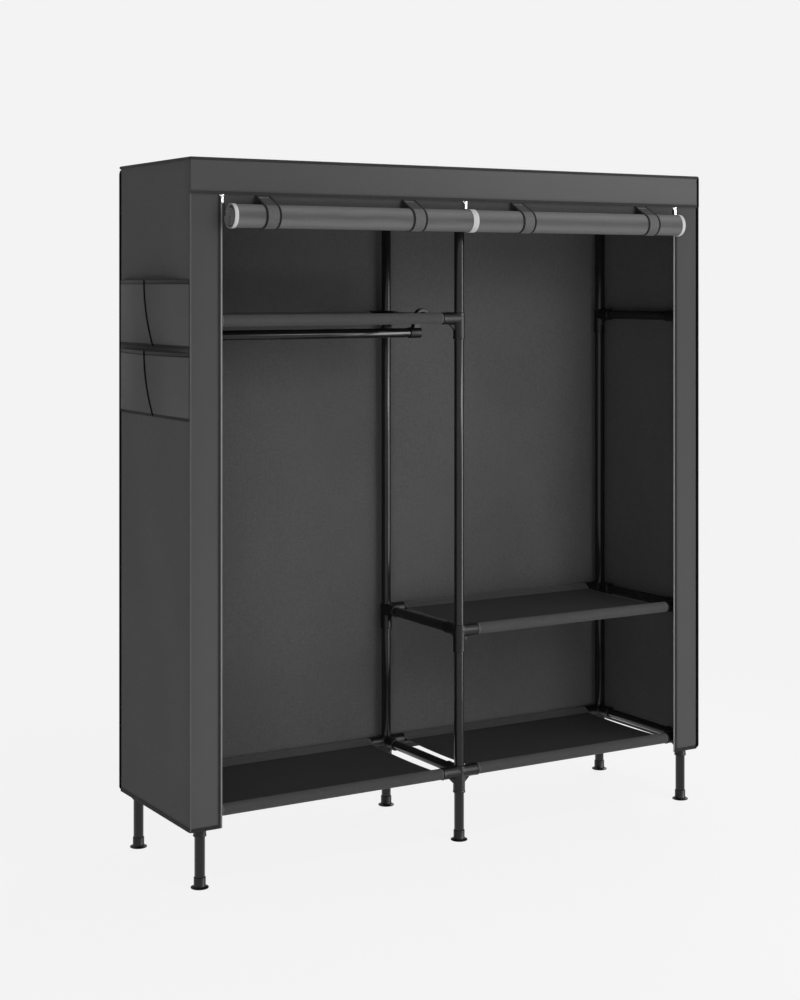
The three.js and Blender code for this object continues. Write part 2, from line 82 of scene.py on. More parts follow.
post_x = {column: middle_of(f"foot_front_{column}").x for column in columns}
post_y = {row: middle_of(f"foot_{row}_centre").y for row in rows}
levels = {level: middle_of(f"depth_bar_left_{level}").z
          for level in ("bottom", "middle", "upper", "top")}
middle_x = post_x["centre"]
middle_y = (post_y["front"] + post_y["rear"]) / 2
tube_radius = (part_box("depth_bar_left_top")[1].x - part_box("depth_bar_left_top")[0].x) / 2
print("posts at X", post_x, "and Y", post_y, "bar levels", levels)

# %% [markdown]
# ## Camera
# The photograph was taken from the left of the wardrobe, at a little above shoulder height,
# with the camera level and the picture shifted down, so that upright edges stay upright.

# %% Camera
camera_data = bpy.data.cameras.new("camera")
camera = bpy.data.objects.new("camera", camera_data)
bpy.context.scene.collection.objects.link(camera)
camera_data.lens = 65.88
camera_data.sensor_width = 36
camera_data.shift_y = -0.2135
camera.location = (middle_x - 2.8125, middle_y - 4.559, 1.5659)
camera.rotation_euler = (math.radians(90), 0, math.radians(-31))
bpy.context.scene.camera = camera
print("camera at", tuple(round(value, 3) for value in camera.location))

# %% [markdown]
# ## Working on one piece at a time
# A Blender operator acts on everything that is selected. So each step first deselects all,
# then makes one piece active, and in edit mode selects faces or edges by where they are.

# %% Helpers for selecting and shaping
def clear():
    """Leaves edit mode and deselects everything."""
    if bpy.context.object is not None and bpy.context.object.mode != "OBJECT":
        bpy.ops.object.mode_set(mode="OBJECT")
    bpy.ops.object.select_all(action="DESELECT")


def work_on(piece):
    """Makes a piece the only selected one."""
    clear()
    piece.select_set(True)
    bpy.context.view_layer.objects.active = piece


def pick(piece, kind, wanted):
    """Opens a piece in edit mode with only the wanted points, edges or faces selected."""
    work_on(piece)
    bpy.ops.object.mode_set(mode="EDIT")
    bpy.ops.mesh.select_mode(type=kind)
    bpy.ops.mesh.select_all(action="DESELECT")
    bpy.ops.object.mode_set(mode="OBJECT")
    mesh = piece.data
    for item in {"VERT": mesh.vertices, "EDGE": mesh.edges, "FACE": mesh.polygons}[kind]:
        item.select = wanted(item)
    bpy.ops.object.mode_set(mode="EDIT")


def shape_done():
    """Goes back to object mode and returns the piece."""
    bpy.ops.object.mode_set(mode="OBJECT")
    return bpy.context.object


def modify(piece, kind, **settings):
    """Adds a modifier, sets it and applies it."""
    work_on(piece)
    modifier = piece.modifiers.new(kind.lower(), kind)
    for name, value in settings.items():
        setattr(modifier, name, value)
    bpy.ops.object.modifier_apply(modifier=modifier.name)


def settle(piece):
    """Puts a piece's place, turn and size in its mesh."""
    work_on(piece)
    bpy.ops.object.transform_apply(location=True, rotation=True, scale=True)


def draw_out(way):
    """Extrudes what is selected, along a vector."""
    bpy.ops.mesh.extrude_region_move(TRANSFORM_OT_translate={"value": way})


def round_edges(piece, width, segments=2, above=30):
    """Bevels the edges of a piece that turn by more than an angle in degrees."""
    modify(piece, "BEVEL", width=width, segments=segments, limit_method="ANGLE",
           angle_limit=math.radians(above))


def repeat(piece, count, way):
    """Repeats a piece, each time one vector further."""
    modify(piece, "ARRAY", count=count, use_relative_offset=False, use_constant_offset=True,
           constant_offset_displace=way)


def smooth(piece, degrees=35):
    """Shades a piece smooth, apart from its sharp edges."""
    work_on(piece)
    bpy.ops.object.shade_smooth_by_angle(angle=math.radians(degrees))


def join(pieces):
    """Joins pieces into the first one."""
    clear()
    for piece in pieces:
        piece.select_set(True)
    bpy.context.view_layer.objects.active = pieces[0]
    bpy.ops.object.join()
    return pieces[0]


def copy_to(piece, move):
    """A copy with a mesh of its own, moved."""
    other = piece.copy()
    other.data = piece.data.copy()
    bpy.context.scene.collection.objects.link(other)
    other.data.transform(Matrix.Translation(Vector(move)))
    return other


along_x = (0, math.radians(90), 0)


def cylinder(radius, depth, place, turn=(0, 0, 0), sides=48, ends="NGON"):
    """A cylinder about a place, along Z unless it is turned."""
    clear()
    bpy.ops.mesh.primitive_cylinder_add(vertices=sides, radius=radius, depth=depth,
                                        end_fill_type=ends, location=place, rotation=turn)
    settle(bpy.context.object)
    return bpy.context.object


def box_between(low, high):
    """A box between two corners."""
    low, high = Vector(low), Vector(high)
    clear()
    bpy.ops.mesh.primitive_cube_add(size=1, location=(low + high) / 2)
    bpy.context.object.scale = high - low
    settle(bpy.context.object)
    return bpy.context.object


def drawn_line(points, radius=0.0):
    """A line through points as a mesh, round where it has a radius."""
    curve = bpy.data.curves.new("line", "CURVE")
    curve.dimensions = "3D"
    curve.bevel_depth = radius
    curve.bevel_resolution = 2
    curve.use_fill_caps = True
    spline = curve.splines.new("POLY")
    spline.points.add(len(points) - 1)
    for point, place in zip(spline.points, points):
        point.co = (*place, 1)
    line = bpy.data.objects.new("line", curve)
    bpy.context.scene.collection.objects.link(line)
    work_on(line)
    bpy.ops.object.convert(target="MESH")
    return bpy.context.object


def spread(start, end, step):
    """Even places between two ends, at most a step apart."""
    count = max(1, math.ceil(abs(end - start) / step))
    return [start + (end - start) * index / count for index in range(1, count)]


def slice_up(piece, axis, places):
    """Cuts a piece across at each place along an axis, which gives it rows of faces."""
    normal = [float(axis == name) for name in "XYZ"]
    work_on(piece)
    bpy.ops.object.mode_set(mode="EDIT")
    for place in places:
        bpy.ops.mesh.select_all(action="SELECT")
        bpy.ops.mesh.bisect(plane_co=[place * part for part in normal], plane_no=normal)
    shape_done()


def count_faces(*pieces):
    """How many faces pieces have together."""
    return sum(len(piece.data.polygons) for piece in pieces)


# %% [markdown]
# ## Finishes
# Every finish is made of nodes. Cloth has crossed threads, drawn as bands along each axis. The
# bands that would run across the face of a panel are left out by looking at which way the
# surface faces. A slow noise makes the cloth uneven, and a fast one gives it its fleck.

# %% Node helpers
def linear(grey):
    """A grey as seen on a screen, from 0 to 255, as the amount of light that it returns."""
    share = grey / 255
    return share / 12.92 if share <= 0.04045 else ((share + 0.055) / 1.055) ** 2.4


def grey_colour(grey, share=1.0):
    """The colour of a share of a grey, as seen on a screen."""
    return (linear(grey) * share,) * 3 + (1.0,)


def feed(tree, socket, value):
    """Links a socket to an output, or gives it a number or a colour."""
    if isinstance(value, bpy.types.NodeSocket):
        tree.links.new(value, socket)
    else:
        socket.default_value = value


def add_node(tree, kind, **inputs):
    """A new node with its inputs fed by name, where _ stands for a space."""
    node = tree.nodes.new("ShaderNode" + kind)
    for name, value in inputs.items():
        feed(tree, node.inputs[name.replace("_", " ")], value)
    return node


def math_node(tree, operation, first, second):
    """A math node fed by two outputs or numbers."""
    node = tree.nodes.new("ShaderNodeMath")
    node.operation = operation
    feed(tree, node.inputs[0], first)
    feed(tree, node.inputs[1], second)
    return node.outputs[0]


def noise_node(tree, where, size, detail=2.0):
    """A noise whose lumps are about one size, in metres."""
    noise = add_node(tree, "TexNoise", Vector=where, Scale=1 / size, Detail=detail)
    return noise.outputs["Fac"]


def stretched_noise(tree, where, sizes):
    """A noise whose lumps have one size along each axis, in metres."""
    scaled = tree.nodes.new("ShaderNodeVectorMath")
    scaled.operation = "MULTIPLY"
    feed(tree, scaled.inputs[0], where)
    feed(tree, scaled.inputs[1], [1 / size for size in sizes])
    return noise_node(tree, scaled.outputs[0], 1.0, 1.0)


def band_node(tree, where, axis, period, distortion, detail_scale, phase=0.0):
    """Wavy bands across an axis."""
    bands = add_node(tree, "TexWave", Vector=where, Scale=2 * math.pi / (20 * period),
                     Distortion=distortion, Detail_Scale=detail_scale, Phase_Offset=phase)
    bands.bands_direction = axis
    return bands.outputs["Fac"]


def ease_node(tree, value, start, end, low=0.0, high=1.0):
    """A number that eases from low to high as a value goes from start to end."""
    ease = add_node(tree, "MapRange", Value=value, From_Min=start, From_Max=end, To_Min=low,
                    To_Max=high)
    ease.interpolation_type = "SMOOTHSTEP"
    return ease.outputs["Result"]


def tint_node(tree, factor, grey, low, high, reach=0.15):
    """A colour that runs from low to high times a grey as the factor passes 0.5."""
    ramp = add_node(tree, "ValToRGB", Fac=factor)
    for element, side, share in zip(ramp.color_ramp.elements, (-1, 1), (low, high)):
        element.position = 0.5 + side * reach
        element.color = grey_colour(grey, share)
    return ramp.outputs["Color"]


def new_finish(name, grey, roughness, gloss):
    """A material with a plain shader, its node tree and its shader."""
    material = bpy.data.materials.new(name)
    material.use_nodes = True
    shader = material.node_tree.nodes["Principled BSDF"]
    shader.inputs["Base Color"].default_value = grey_colour(grey)
    shader.inputs["Roughness"].default_value = roughness
    shader.inputs["Specular IOR Level"].default_value = gloss
    return material, material.node_tree, shader


def dress(tree, shader, colour, height, strength, depth):
    """Gives a shader its uneven colour and its bumps."""
    bump = add_node(tree, "Bump", Height=height, Strength=strength, Distance=depth)
    tree.links.new(bump.outputs["Normal"], shader.inputs["Normal"])
    tree.links.new(colour, shader.inputs["Base Color"])


# %% Cloth, made of crossed threads
def threads_node(tree, place, thread):
    """Raised threads along the two axes that lie in the cloth's surface."""
    facing = add_node(tree, "SeparateXYZ", Vector=place.outputs["Normal"])
    weave = 0.0
    for index, axis in enumerate("XYZ"):
        bands = band_node(tree, place.outputs["Object"], axis, thread, distortion=0.6,
                          detail_scale=0.4)
        squared = math_node(tree, "POWER", facing.outputs[index], 2.0)
        shown = math_node(tree, "SUBTRACT", 1.0, squared)
        weave = math_node(tree, "ADD", math_node(tree, "MULTIPLY", bands, shown), weave)
    return weave


def highlight_bands_node(tree, where, peak, period):
    """Long wavy bands along X, a painted highlight round a roll, brightest at one height."""
    phase = (math.pi - 2 * math.pi * peak / period) % (2 * math.pi)
    return band_node(tree, where, "Z", period, distortion=0.9, detail_scale=0.5, phase=phase)


# Painted light: this share makes a cloth paler further from a place, standing in for how light falls
# on it.
def painted_light_node(tree, where, axis, centre, start, end):
    """A share that rises from 0 to 1 between two distances from a place on one axis."""
    parts = add_node(tree, "SeparateXYZ", Vector=where)
    away = math_node(tree, "SUBTRACT", parts.outputs[axis], centre)
    return ease_node(tree, math_node(tree, "ABSOLUTE", away, 0.0), start, end)


def cloth_finish(name, grey, thread=0.0011, fleck=0.16, sheen=0.12, gloss=0.25, highlight_bands=None,
                 painted_light=None):
    """Woven cloth in one grey. thread is the space between two threads, in metres."""
    material, tree, shader = new_finish(name, grey, 0.85, gloss)
    shader.inputs["Sheen Weight"].default_value = sheen
    shader.inputs["Sheen Roughness"].default_value = 0.5
    place = add_node(tree, "TexCoord")
    where = place.outputs["Object"]
    fibres = noise_node(tree, where, 0.005, 1.0)
    reach = 0.4
    # painted_light paints the cloth paler further from a place, as painted light; highlight_bands
    # paints bright bands round a roll, as a painted highlight.
    if painted_light is not None:
        shares = ((painted_light_node(tree, where, *painted_light), 0.8), (fibres, 0.2))
    elif highlight_bands is not None:
        shares = ((highlight_bands_node(tree, where, *highlight_bands), 0.6), (fibres, 0.15),
                  (stretched_noise(tree, where, (0.10, 0.006, 0.006)), 0.25))
    else:
        reach = 0.15
        shares = ((noise_node(tree, where, 0.18, 3.0), 0.22), (fibres, 0.38),
                  (stretched_noise(tree, where, (0.030, 0.030, 0.0024)), 0.20),
                  (stretched_noise(tree, where, (0.0024, 0.0024, 0.030)), 0.20))
    mixed = 0.0
    for noise, share in shares:
        mixed = math_node(tree, "ADD", math_node(tree, "MULTIPLY", noise, share), mixed)
    colour = tint_node(tree, mixed, grey, 1 - fleck, 1 + fleck, reach)
    threads = threads_node(tree, place, thread)
    dress(tree, shader, colour, threads, strength=0.5, depth=0.0003)
    return material


def crease(material, sizes, depth):
    """Adds broad soft creases, of a size along each axis and a depth, below a cloth's threads."""
    tree = material.node_tree
    place = add_node(tree, "TexCoord").outputs["Object"]
    broad = add_node(tree, "Bump", Height=stretched_noise(tree, place, sizes), Distance=depth)
    tree.links.new(broad.outputs["Normal"], tree.nodes["Bump"].inputs["Normal"])


# %% [markdown]
# Powder-coated steel has a fine, even skin like orange peel, and moulded plastic has a finer
# one that is duller. Plated metal is a mirror with faint brushing, and only small pieces of the
# wardrobe have it.

# %% Coated steel, moulded plastic and plated metal
def coated_finish(name, grey, roughness, lump, bump, gloss):
    """A coated or moulded surface in one grey, with lumps of one size."""
    material, tree, shader = new_finish(name, grey, roughness, gloss)
    place = add_node(tree, "TexCoord").outputs["Object"]
    colour = tint_node(tree, noise_node(tree, place, 0.05), grey, 0.9, 1.1)
    dress(tree, shader, colour, noise_node(tree, place, lump), bump, depth=0.0002)
    return material


def plated_finish(name, grey):
    """Bright plated metal."""
    material, tree, shader = new_finish(name, grey, 0.16, 0.5)
    shader.inputs["Metallic"].default_value = 1.0
    brushed = noise_node(tree, add_node(tree, "TexCoord").outputs["Object"], 0.0015)
    colour = tint_node(tree, brushed, grey, 0.85, 1.0)
    dress(tree, shader, colour, brushed, strength=0.15, depth=0.0001)
    return material


cover_cloth = cloth_finish("cover cloth", 82)
inner_cloth = cloth_finish("cover cloth inside", 86)
# The stiles are painted paler towards their foot, a painted light.
stile_cloth_painted_light = cloth_finish("front fold cloth, painted light paler to its foot", 80, fleck=0.15,
                           painted_light=("Z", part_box("cover_top")[1].z, 0.15, 1.75))
back_cloth = cloth_finish("back cloth", 84)
crease(back_cloth, (0.30, 0.30, 0.80), 0.045)
# The header is painted paler towards its right end, a painted light.
header_cloth_painted_light = cloth_finish("header cloth, painted light paler to its right end", 87, fleck=0.23,
                            painted_light=("X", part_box("cover_header")[0].x, 0.0, 1.6))
# A pale cloth for painted highlights: the front left fold's piping and the ends of the shelf sleeves.
highlight_fold_cloth = cloth_finish("cloth on the front fold", 100)
hem_and_shade_cloth = cloth_finish("pocket hem cloth", 46)
# The pockets are painted paler towards both ends, a painted highlight on their curved cloth.
pocket_cloth = cloth_finish("pocket cloth, painted highlight paler to its ends", 91, fleck=0.22,
                            painted_light=("Y", middle_y + 0.03, 0.03, 0.20))
# The roll's cloth has bright bands painted round it, a painted highlight: the brightest sits 0.83 of
# the way up the roll and the next one period lower.
roll_low, roll_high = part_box("door_roll_left")
highlight_band_period = 0.65 * (roll_high.z - roll_low.z)
highlight_band_peak = roll_low.z + 0.83 * (roll_high.z - roll_low.z)
door_cloth_highlight_bands = cloth_finish("wound door cloth, painted highlight bands", 103, fleck=0.38, highlight_bands=(highlight_band_peak, highlight_band_period))
# The door cloth under the header is painted darker than the roll, a painted shade.
door_top_cloth_painted_shade = cloth_finish("door cloth under the header, painted shade", 70)
door_edge_cloth = cloth_finish("door edge cloth", 140)
# The shelf panel is painted darker than its sleeves, a painted shade on its top.
shelf_cloth_painted_shade = cloth_finish("shelf cloth, painted shade", 29, thread=0.0009, sheen=0.05)
sleeve_cloth = cloth_finish("shelf sleeve cloth", 71, thread=0.0009)
strap_cloth = cloth_finish("strap cloth", 98)
strap_top_cloth_painted_shade = cloth_finish("strap cloth above the roll, painted shade", 56)
dark_binding = cloth_finish("dark binding", 38, thread=0.0008, sheen=0.05)
header_binding = cloth_finish("header binding", 49, thread=0.0008, sheen=0.05)
deep_binding = cloth_finish("strap and pocket binding", 22, thread=0.0008, sheen=0.02)
black_piping = cloth_finish("black piping", 4, thread=0.0008, sheen=0.0, gloss=0.1)
pale_tape = cloth_finish("pale door tape", 222, thread=0.0008, fleck=0.04)
grey_tape = cloth_finish("zip tape", 148, thread=0.0008, fleck=0.05)
pale_thread = cloth_finish("pale thread", 175, thread=0.0008, fleck=0.05)
coated_steel = coated_finish("coated steel", 29, 0.17, 0.0012, 0.12, 0.3)
moulded_plastic = coated_finish("moulded plastic", 13, 0.38, 0.0005, 0.15, 0.3)
foot_plastic = coated_finish("foot plastic", 5, 0.5, 0.0005, 0.2, 0.2)
zip_teeth = coated_finish("zip teeth", 92, 0.4, 0.0008, 0.1, 0.5)
plated_metal = plated_finish("plated metal", 235)
print("finishes:", len(bpy.data.materials))


# %% Helpers that give a piece its finishes and hand it over
def dye(piece, finishes, choose):
    """Gives a piece several finishes, chosen for each face by its middle."""
    piece.data.materials.clear()
    for finish in finishes:
        piece.data.materials.append(finish)
    for face in piece.data.polygons:
        face.material_index = choose(face.center)


standing = "frame_and_cover"


def hand_over(piece, name, finish, nodes, body=standing):
    """Names a finished piece, gives it its finish, and ties it to what it stands for."""
    settle(piece)
    piece.name = name
    piece.data.name = name
    if finish is not None:
        piece.data.materials.clear()
        piece.data.materials.append(finish)
    if body is not None:
        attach(piece, body)
    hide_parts(*nodes)
    return piece


# %% [markdown]
# ## Steel tubes
# The posts and bars are thin tubes with an open end. A cylinder without ends is given a wall by
# Solidify, and Bevel takes the sharpness off the cut ends, as a tumbling drum does.

# %% Posts, bars and the rail's tube
tube_wall = 0.0012
cut_round = 0.0003


def tube(start, end, radius):
    """A length of tube between two points."""
    start, end = Vector(start), Vector(end)
    turn = (end - start).to_track_quat("Z", "Y").to_euler()
    piece = cylinder(radius, (end - start).length, (start + end) / 2, turn, ends="NOTHING")
    modify(piece, "SOLIDIFY", thickness=tube_wall, offset=-1)
    round_edges(piece, cut_round)
    smooth(piece)
    return piece


def ends_along(node, axis):
    """The middles of a node's two ends along an axis."""
    low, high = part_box(node)
    start, end = (low + high) / 2, (low + high) / 2
    index = "XYZ".index(axis)
    start[index], end[index] = low[index], high[index]
    return start, end


post_foot = 0.0063
post_top = levels["top"] - 0.002
for column in columns:
    for row in rows:
        place = (post_x[column], post_y[row])
        post = tube((*place, post_foot), (*place, post_top), tube_radius)
        name = f"post_{row}_{column}"
        hand_over(post, f"tube_{name}", coated_steel, [name])
    for level in levels:
        node = f"depth_bar_{column}_{level}"
        bar = tube(*ends_along(node, "Y"), tube_radius)
        hand_over(bar, f"tube_{node}", coated_steel, [node])
for side in sides:
    for row in rows:
        node = f"top_bar_{row}_{side}"
        bar = tube(*ends_along(node, "X"), tube_radius)
        hand_over(bar, f"tube_{node}", coated_steel, [node])
print("tubes made")

# %% [markdown]
# ## Moulded fittings
# A fitting is one moulding: a sleeve on the post, a socket for each bar, and a web under each
# socket. The parts are joined, remeshed into one skin and smoothed, which leaves the soft inner
# corners that a mould gives. Each shape is modelled once, at the origin, and then copied.

# %% A fitting from its parts
fitting_radius = 0.017
fitting_reach = 0.060
fitting_drop = 0.059
top_rise = 0.0175
gusset_reach = 0.0345
gusset_drop = 0.034
gusset_thickness = 0.006
rim_width = 0.004
rim_height = 0.0009
directions = {"right": 0, "rear": 90, "left": 180, "front": 270}


def round_part(radius, start, end, axis):
    """A closed cylinder along Z or X, from start to end."""
    middle = (start + end) / 2
    if axis == "X":
        return cylinder(radius, end - start, (middle, 0, 0), along_x)
    return cylinder(radius, end - start, (0, 0, middle))


def web_part():
    """The web under a socket: a plate in the plane of the socket with a corner cut off."""
    web = box_between((0, -gusset_thickness / 2, -gusset_drop),
                      (gusset_reach, gusset_thickness / 2, 0))
    pick(web, "FACE", lambda face: True)
    bpy.ops.mesh.bisect(
        plane_co=(gusset_reach, 0, -fitting_radius), use_fill=True, clear_outer=True,
        plane_no=(gusset_drop - fitting_radius, 0, fitting_radius - gusset_reach),
    )
    return shape_done()


def one_moulding(parts, grain, kept):
    """Joins parts into one skin with soft corners, of which a share of the faces is kept."""
    piece = join(parts)
    modify(piece, "REMESH", mode="VOXEL", voxel_size=grain)
    modify(piece, "SMOOTH", factor=0.6, iterations=6)
    modify(piece, "DECIMATE", ratio=kept)
    smooth(piece, 50)
    return piece


def fitting(rise, arms):
    """A fitting about the origin, with arms in the given directions."""
    rim_radius = fitting_radius + rim_height
    parts = [round_part(fitting_radius, -fitting_drop, rise, "Z"),
             round_part(rim_radius, -fitting_drop, rim_width - fitting_drop, "Z")]
    for arm in arms:
        made = [round_part(fitting_radius, 0, fitting_reach, "X"),
                round_part(rim_radius, fitting_reach - rim_width, fitting_reach, "X"),
                web_part()]
        for part in made:
            part.rotation_euler.z = math.radians(directions[arm])
            settle(part)
        parts += made
    return one_moulding(parts, grain=0.0014, kept=0.3)


# %% The fittings on each post
side_arms = {
    "left": {"bottom": ["right"], "middle": [], "upper": ["right"], "top": ["right"]},
    "centre": {"bottom": ["left", "right"], "middle": ["right"], "upper": ["left"],
               "top": ["left", "right"]},
    "right": {"bottom": ["left"], "middle": ["left"], "upper": [], "top": ["left"]},
}
fitting_shapes = {}
for column in columns:
    for row in rows:
        inward = "rear" if row == "front" else "front"
        on_post = []
        for level, height in levels.items():
            arms = (inward, *side_arms[column][level])
            rise = top_rise if level == "top" else fitting_radius
            if (rise, arms) not in fitting_shapes:
                fitting_shapes[rise, arms] = fitting(rise, arms)
            move = (post_x[column], post_y[row], height)
            on_post.append(copy_to(fitting_shapes[rise, arms], move))
        name = f"post_{row}_{column}"
        hand_over(join(on_post), f"fittings_{name}", moulded_plastic, [name])
print("fitting shapes:", len(fitting_shapes))
for shape in fitting_shapes.values():
    bpy.data.objects.remove(shape)

# %% [markdown]
# ## Feet
# A foot is a socket on a round flange. A flat cylinder is the flange, and its top face is inset
# and pulled up into the socket, then inset again and pushed down for the post. Bevel rounds it.

# %% Feet
flange_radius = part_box("foot_front_left")[1].x - middle_of("foot_front_left").x
flange_height = 0.0022
foot_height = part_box("foot_front_left")[1].z
socket_radius = 0.0158
socket_wall = 0.0017
collar_height = 0.001
foot_round = 0.0006
dark_foot = 0.006
flare = ((0.0016, 0.0006), (0.0024, 0.0006), (0.0022, 0.0012), (0.0010, 0.0022))


def foot():
    """A foot about the origin."""
    piece = cylinder(flange_radius, flange_height, (0, 0, flange_height / 2), sides=64)
    pick(piece, "FACE", lambda face: face.normal.z > 0.9)
    height, radius = flange_height, flange_radius
    for inward, upward in flare:
        bpy.ops.mesh.inset(thickness=inward)
        bpy.ops.transform.translate(value=(0, 0, upward))
        height += upward
        radius -= inward
    bpy.ops.mesh.inset(thickness=radius - socket_radius)
    bpy.ops.transform.translate(value=(0, 0, collar_height))
    draw_out((0, 0, foot_height - height - collar_height))
    bpy.ops.mesh.inset(thickness=socket_wall)
    draw_out((0, 0, post_foot - foot_height))
    shape_done()
    round_edges(piece, foot_round, 3, above=40)
    smooth(piece)
    return piece


foot_shape = foot()
for column in columns:
    for row in rows:
        name = f"foot_{row}_{column}"
        piece = copy_to(foot_shape, (post_x[column], post_y[row], 0))
        dye(piece, (moulded_plastic, foot_plastic), lambda place: int(place.z < dark_foot))
        hand_over(piece, f"moulded_{name}", None, [name])
print("faces in a foot:", count_faces(foot_shape))
bpy.data.objects.remove(foot_shape)

# %% [markdown]
# ## Cloth from a drawn line
# Many sewn pieces have one outline all along their length: a sleeve round a bar, a strap round
# a roll, or the roll itself. The outline is drawn once as a line, made a mesh, and pulled out
# sideways by extruding its edges. Solidify gives the cloth its thickness.

# %% Helper that pulls a line out into cloth
def ribbon(points, pulls, thickness, offset=0.0):
    """Cloth that follows a line of points, pulled out by one vector after another."""
    drawn_line(points)
    bpy.ops.object.mode_set(mode="EDIT")
    bpy.ops.mesh.select_mode(type="EDGE")
    bpy.ops.mesh.select_all(action="SELECT")
    for pull in pulls:
        draw_out(pull)
    bpy.ops.mesh.select_all(action="SELECT")
    bpy.ops.mesh.normals_make_consistent(inside=False)
    piece = shape_done()
    modify(piece, "SOLIDIFY", thickness=thickness, offset=offset, use_even_offset=True)
    return piece


def length_of(points):
    """The length of a line of points."""
    return sum((Vector(b) - Vector(a)).length for a, b in zip(points, points[1:]))


# %% [markdown]
# A seam shows as a row of short stitches. One stitch is a thin bar with six sides, and Array
# repeats it along the seam.

# %% Helper for rows of stitches
stitch_length = 0.0032
stitch_pitch = 0.0048
stitch_radius = 0.00032


def stitches(start, end, radius=stitch_radius):
    """A row of stitches from start to end."""
    start, end = Vector(start), Vector(end)
    way = (end - start).normalized()
    row = cylinder(radius, stitch_length, start + way * stitch_length / 2,
                   way.to_track_quat("Z", "Y").to_euler(), sides=6)
    repeat(row, int((end - start).length / stitch_pitch), way * stitch_pitch)
    return row


# %% [markdown]
# ## Shelves
# A shelf is one cloth, folded round two bars and sewn to itself, so that each bar lies in a
# sleeve. Its outline is drawn from one seam, round the front bar, across, round the rear bar
# and back to the other seam. The cloth sags a little between the bars. Its panel is painted
# darker than its sleeves, a painted shade on its top; a strip along each free edge keeps the
# sleeve grey, and the sleeve ends are paler still, as painted highlights.

# %% Shelf cloth and its bars
sleeve_radius = 0.0150
seam_distance = 0.024
shelf_cloth_thickness = 0.0009
shelf_sag = 0.004
highlight_edge = 0.003
sleeve_end = 0.0603
seam_inset = 0.002
shelf_columns = 12
sleeve_steps = 28


def sleeve_outline(bar_y, level, toward):
    """The way of the cloth round one bar, from under its seam to over it."""
    half = math.acos(sleeve_radius / seam_distance)
    line = [(0, bar_y + toward * seam_distance, level - shelf_cloth_thickness)]
    for step in range(sleeve_steps + 1):
        angle = -half - (2 * math.pi - 2 * half) * step / sleeve_steps
        y = bar_y + toward * sleeve_radius * math.cos(angle)
        line.append((0, y, level + sleeve_radius * math.sin(angle)))
    line.append((0, bar_y + toward * seam_distance, level + shelf_cloth_thickness))
    return line


def shelf_outline(level):
    """The whole outline of a shelf's cloth, from the front seam to the rear one."""
    front = sleeve_outline(post_y["front"], level, 1)
    rear = sleeve_outline(post_y["rear"], level, -1)[::-1]
    reach = (post_y["rear"] - post_y["front"]) / 2 - seam_distance
    panel = []
    for place in spread(-1, 1, 0.1):
        z = level + shelf_cloth_thickness - shelf_sag * (1 - place ** 2)
        panel.append((0, middle_y + place * reach, z))
    return front + panel + rear


def shelf(node, first, last):
    """A shelf between two columns of posts."""
    low = post_x[first] + sleeve_end
    high = post_x[last] - sleeve_end
    level = middle_of(node).z
    outline = [(low, y, z) for _, y, z in shelf_outline(level)]
    body = high - low - 2 * highlight_edge
    pulls = [(body / shelf_columns, 0, 0)] * shelf_columns
    pulls = [(highlight_edge, 0, 0), *pulls, (highlight_edge, 0, 0)]
    cloth = ribbon(outline, pulls, shelf_cloth_thickness)
    panel_reach = abs(post_y["rear"] - middle_y) - seam_distance

    # Painted light: the panel takes the shaded cloth, a strip along its free edges keeps the sleeve
    # grey as a painted highlight, and the sleeve ends take the pale highlight cloth.
    def finish_of(place):
        at_edge = place.x < low + highlight_edge or place.x > high - highlight_edge
        return 2 * int(at_edge) + int(abs(place.y - middle_y) > panel_reach)

    dye(cloth, (shelf_cloth_painted_shade, sleeve_cloth, sleeve_cloth, highlight_fold_cloth), finish_of)
    smooth(cloth)
    hand_over(cloth, f"cloth_{node}", None, [node])
    bars = []
    for row in rows:
        start, end = ends_along(node, "X")
        start.y, end.y = post_y[row], post_y[row]
        bars.append(tube(start, end, tube_radius))
    bars = hand_over(join(bars), f"tubes_{node}", coated_steel, [node])
    seams = []
    for row, toward in (("front", 1), ("rear", -1)):
        y = post_y[row] + toward * (seam_distance - seam_inset)
        z = level + shelf_cloth_thickness * 2.2
        seams.append(stitches((low, y, z), (high, y, z)))
    hand_over(join(seams), f"stitches_{node}", dark_binding, [node])


shelf("shelf_bottom_left", "left", "centre")
shelf("shelf_bottom_right", "centre", "right")
shelf("shelf_middle_right", "centre", "right")
shelf("shelf_upper_left", "left", "centre")

# %% [markdown]
# ## The cover
# The cover is a cloth box, open below and at the front, where only a stile is left on each
# side. It is made from a cube: the bottom face goes, the front face is cut beside the stiles
# and its middle goes, the folds are rounded, and the whole is cut into rows of faces. Between
# its seams the cloth is a little slack, so it is moved in and out by a slow noise.

# %% The cover's cloth box
cover_low = Vector((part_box("cover_left_stile")[0].x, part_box("cover_left_stile")[0].y,
                    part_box("cover_back")[0].z))
cover_high = Vector((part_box("cover_right_stile")[1].x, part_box("cover_back")[1].y,
                     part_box("cover_top")[1].z))
stile_edges = {"left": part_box("cover_left_stile")[1].x, "right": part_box("cover_right_stile")[0].x}
header_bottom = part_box("cover_header")[0].z
header_hang = 0.0025
cover_thickness = 0.0013
fold_radius = 0.004


def on_fold(edge_middle):
    """Whether an edge of the box is one of its folds: the top ones and the upright ones."""
    at_side = min(edge_middle.x - cover_low.x, cover_high.x - edge_middle.x) < 1e-4
    at_end = min(edge_middle.y - cover_low.y, cover_high.y - edge_middle.y) < 1e-4
    at_top = cover_high.z - edge_middle.z < 1e-4
    return at_side + at_end + at_top == 2


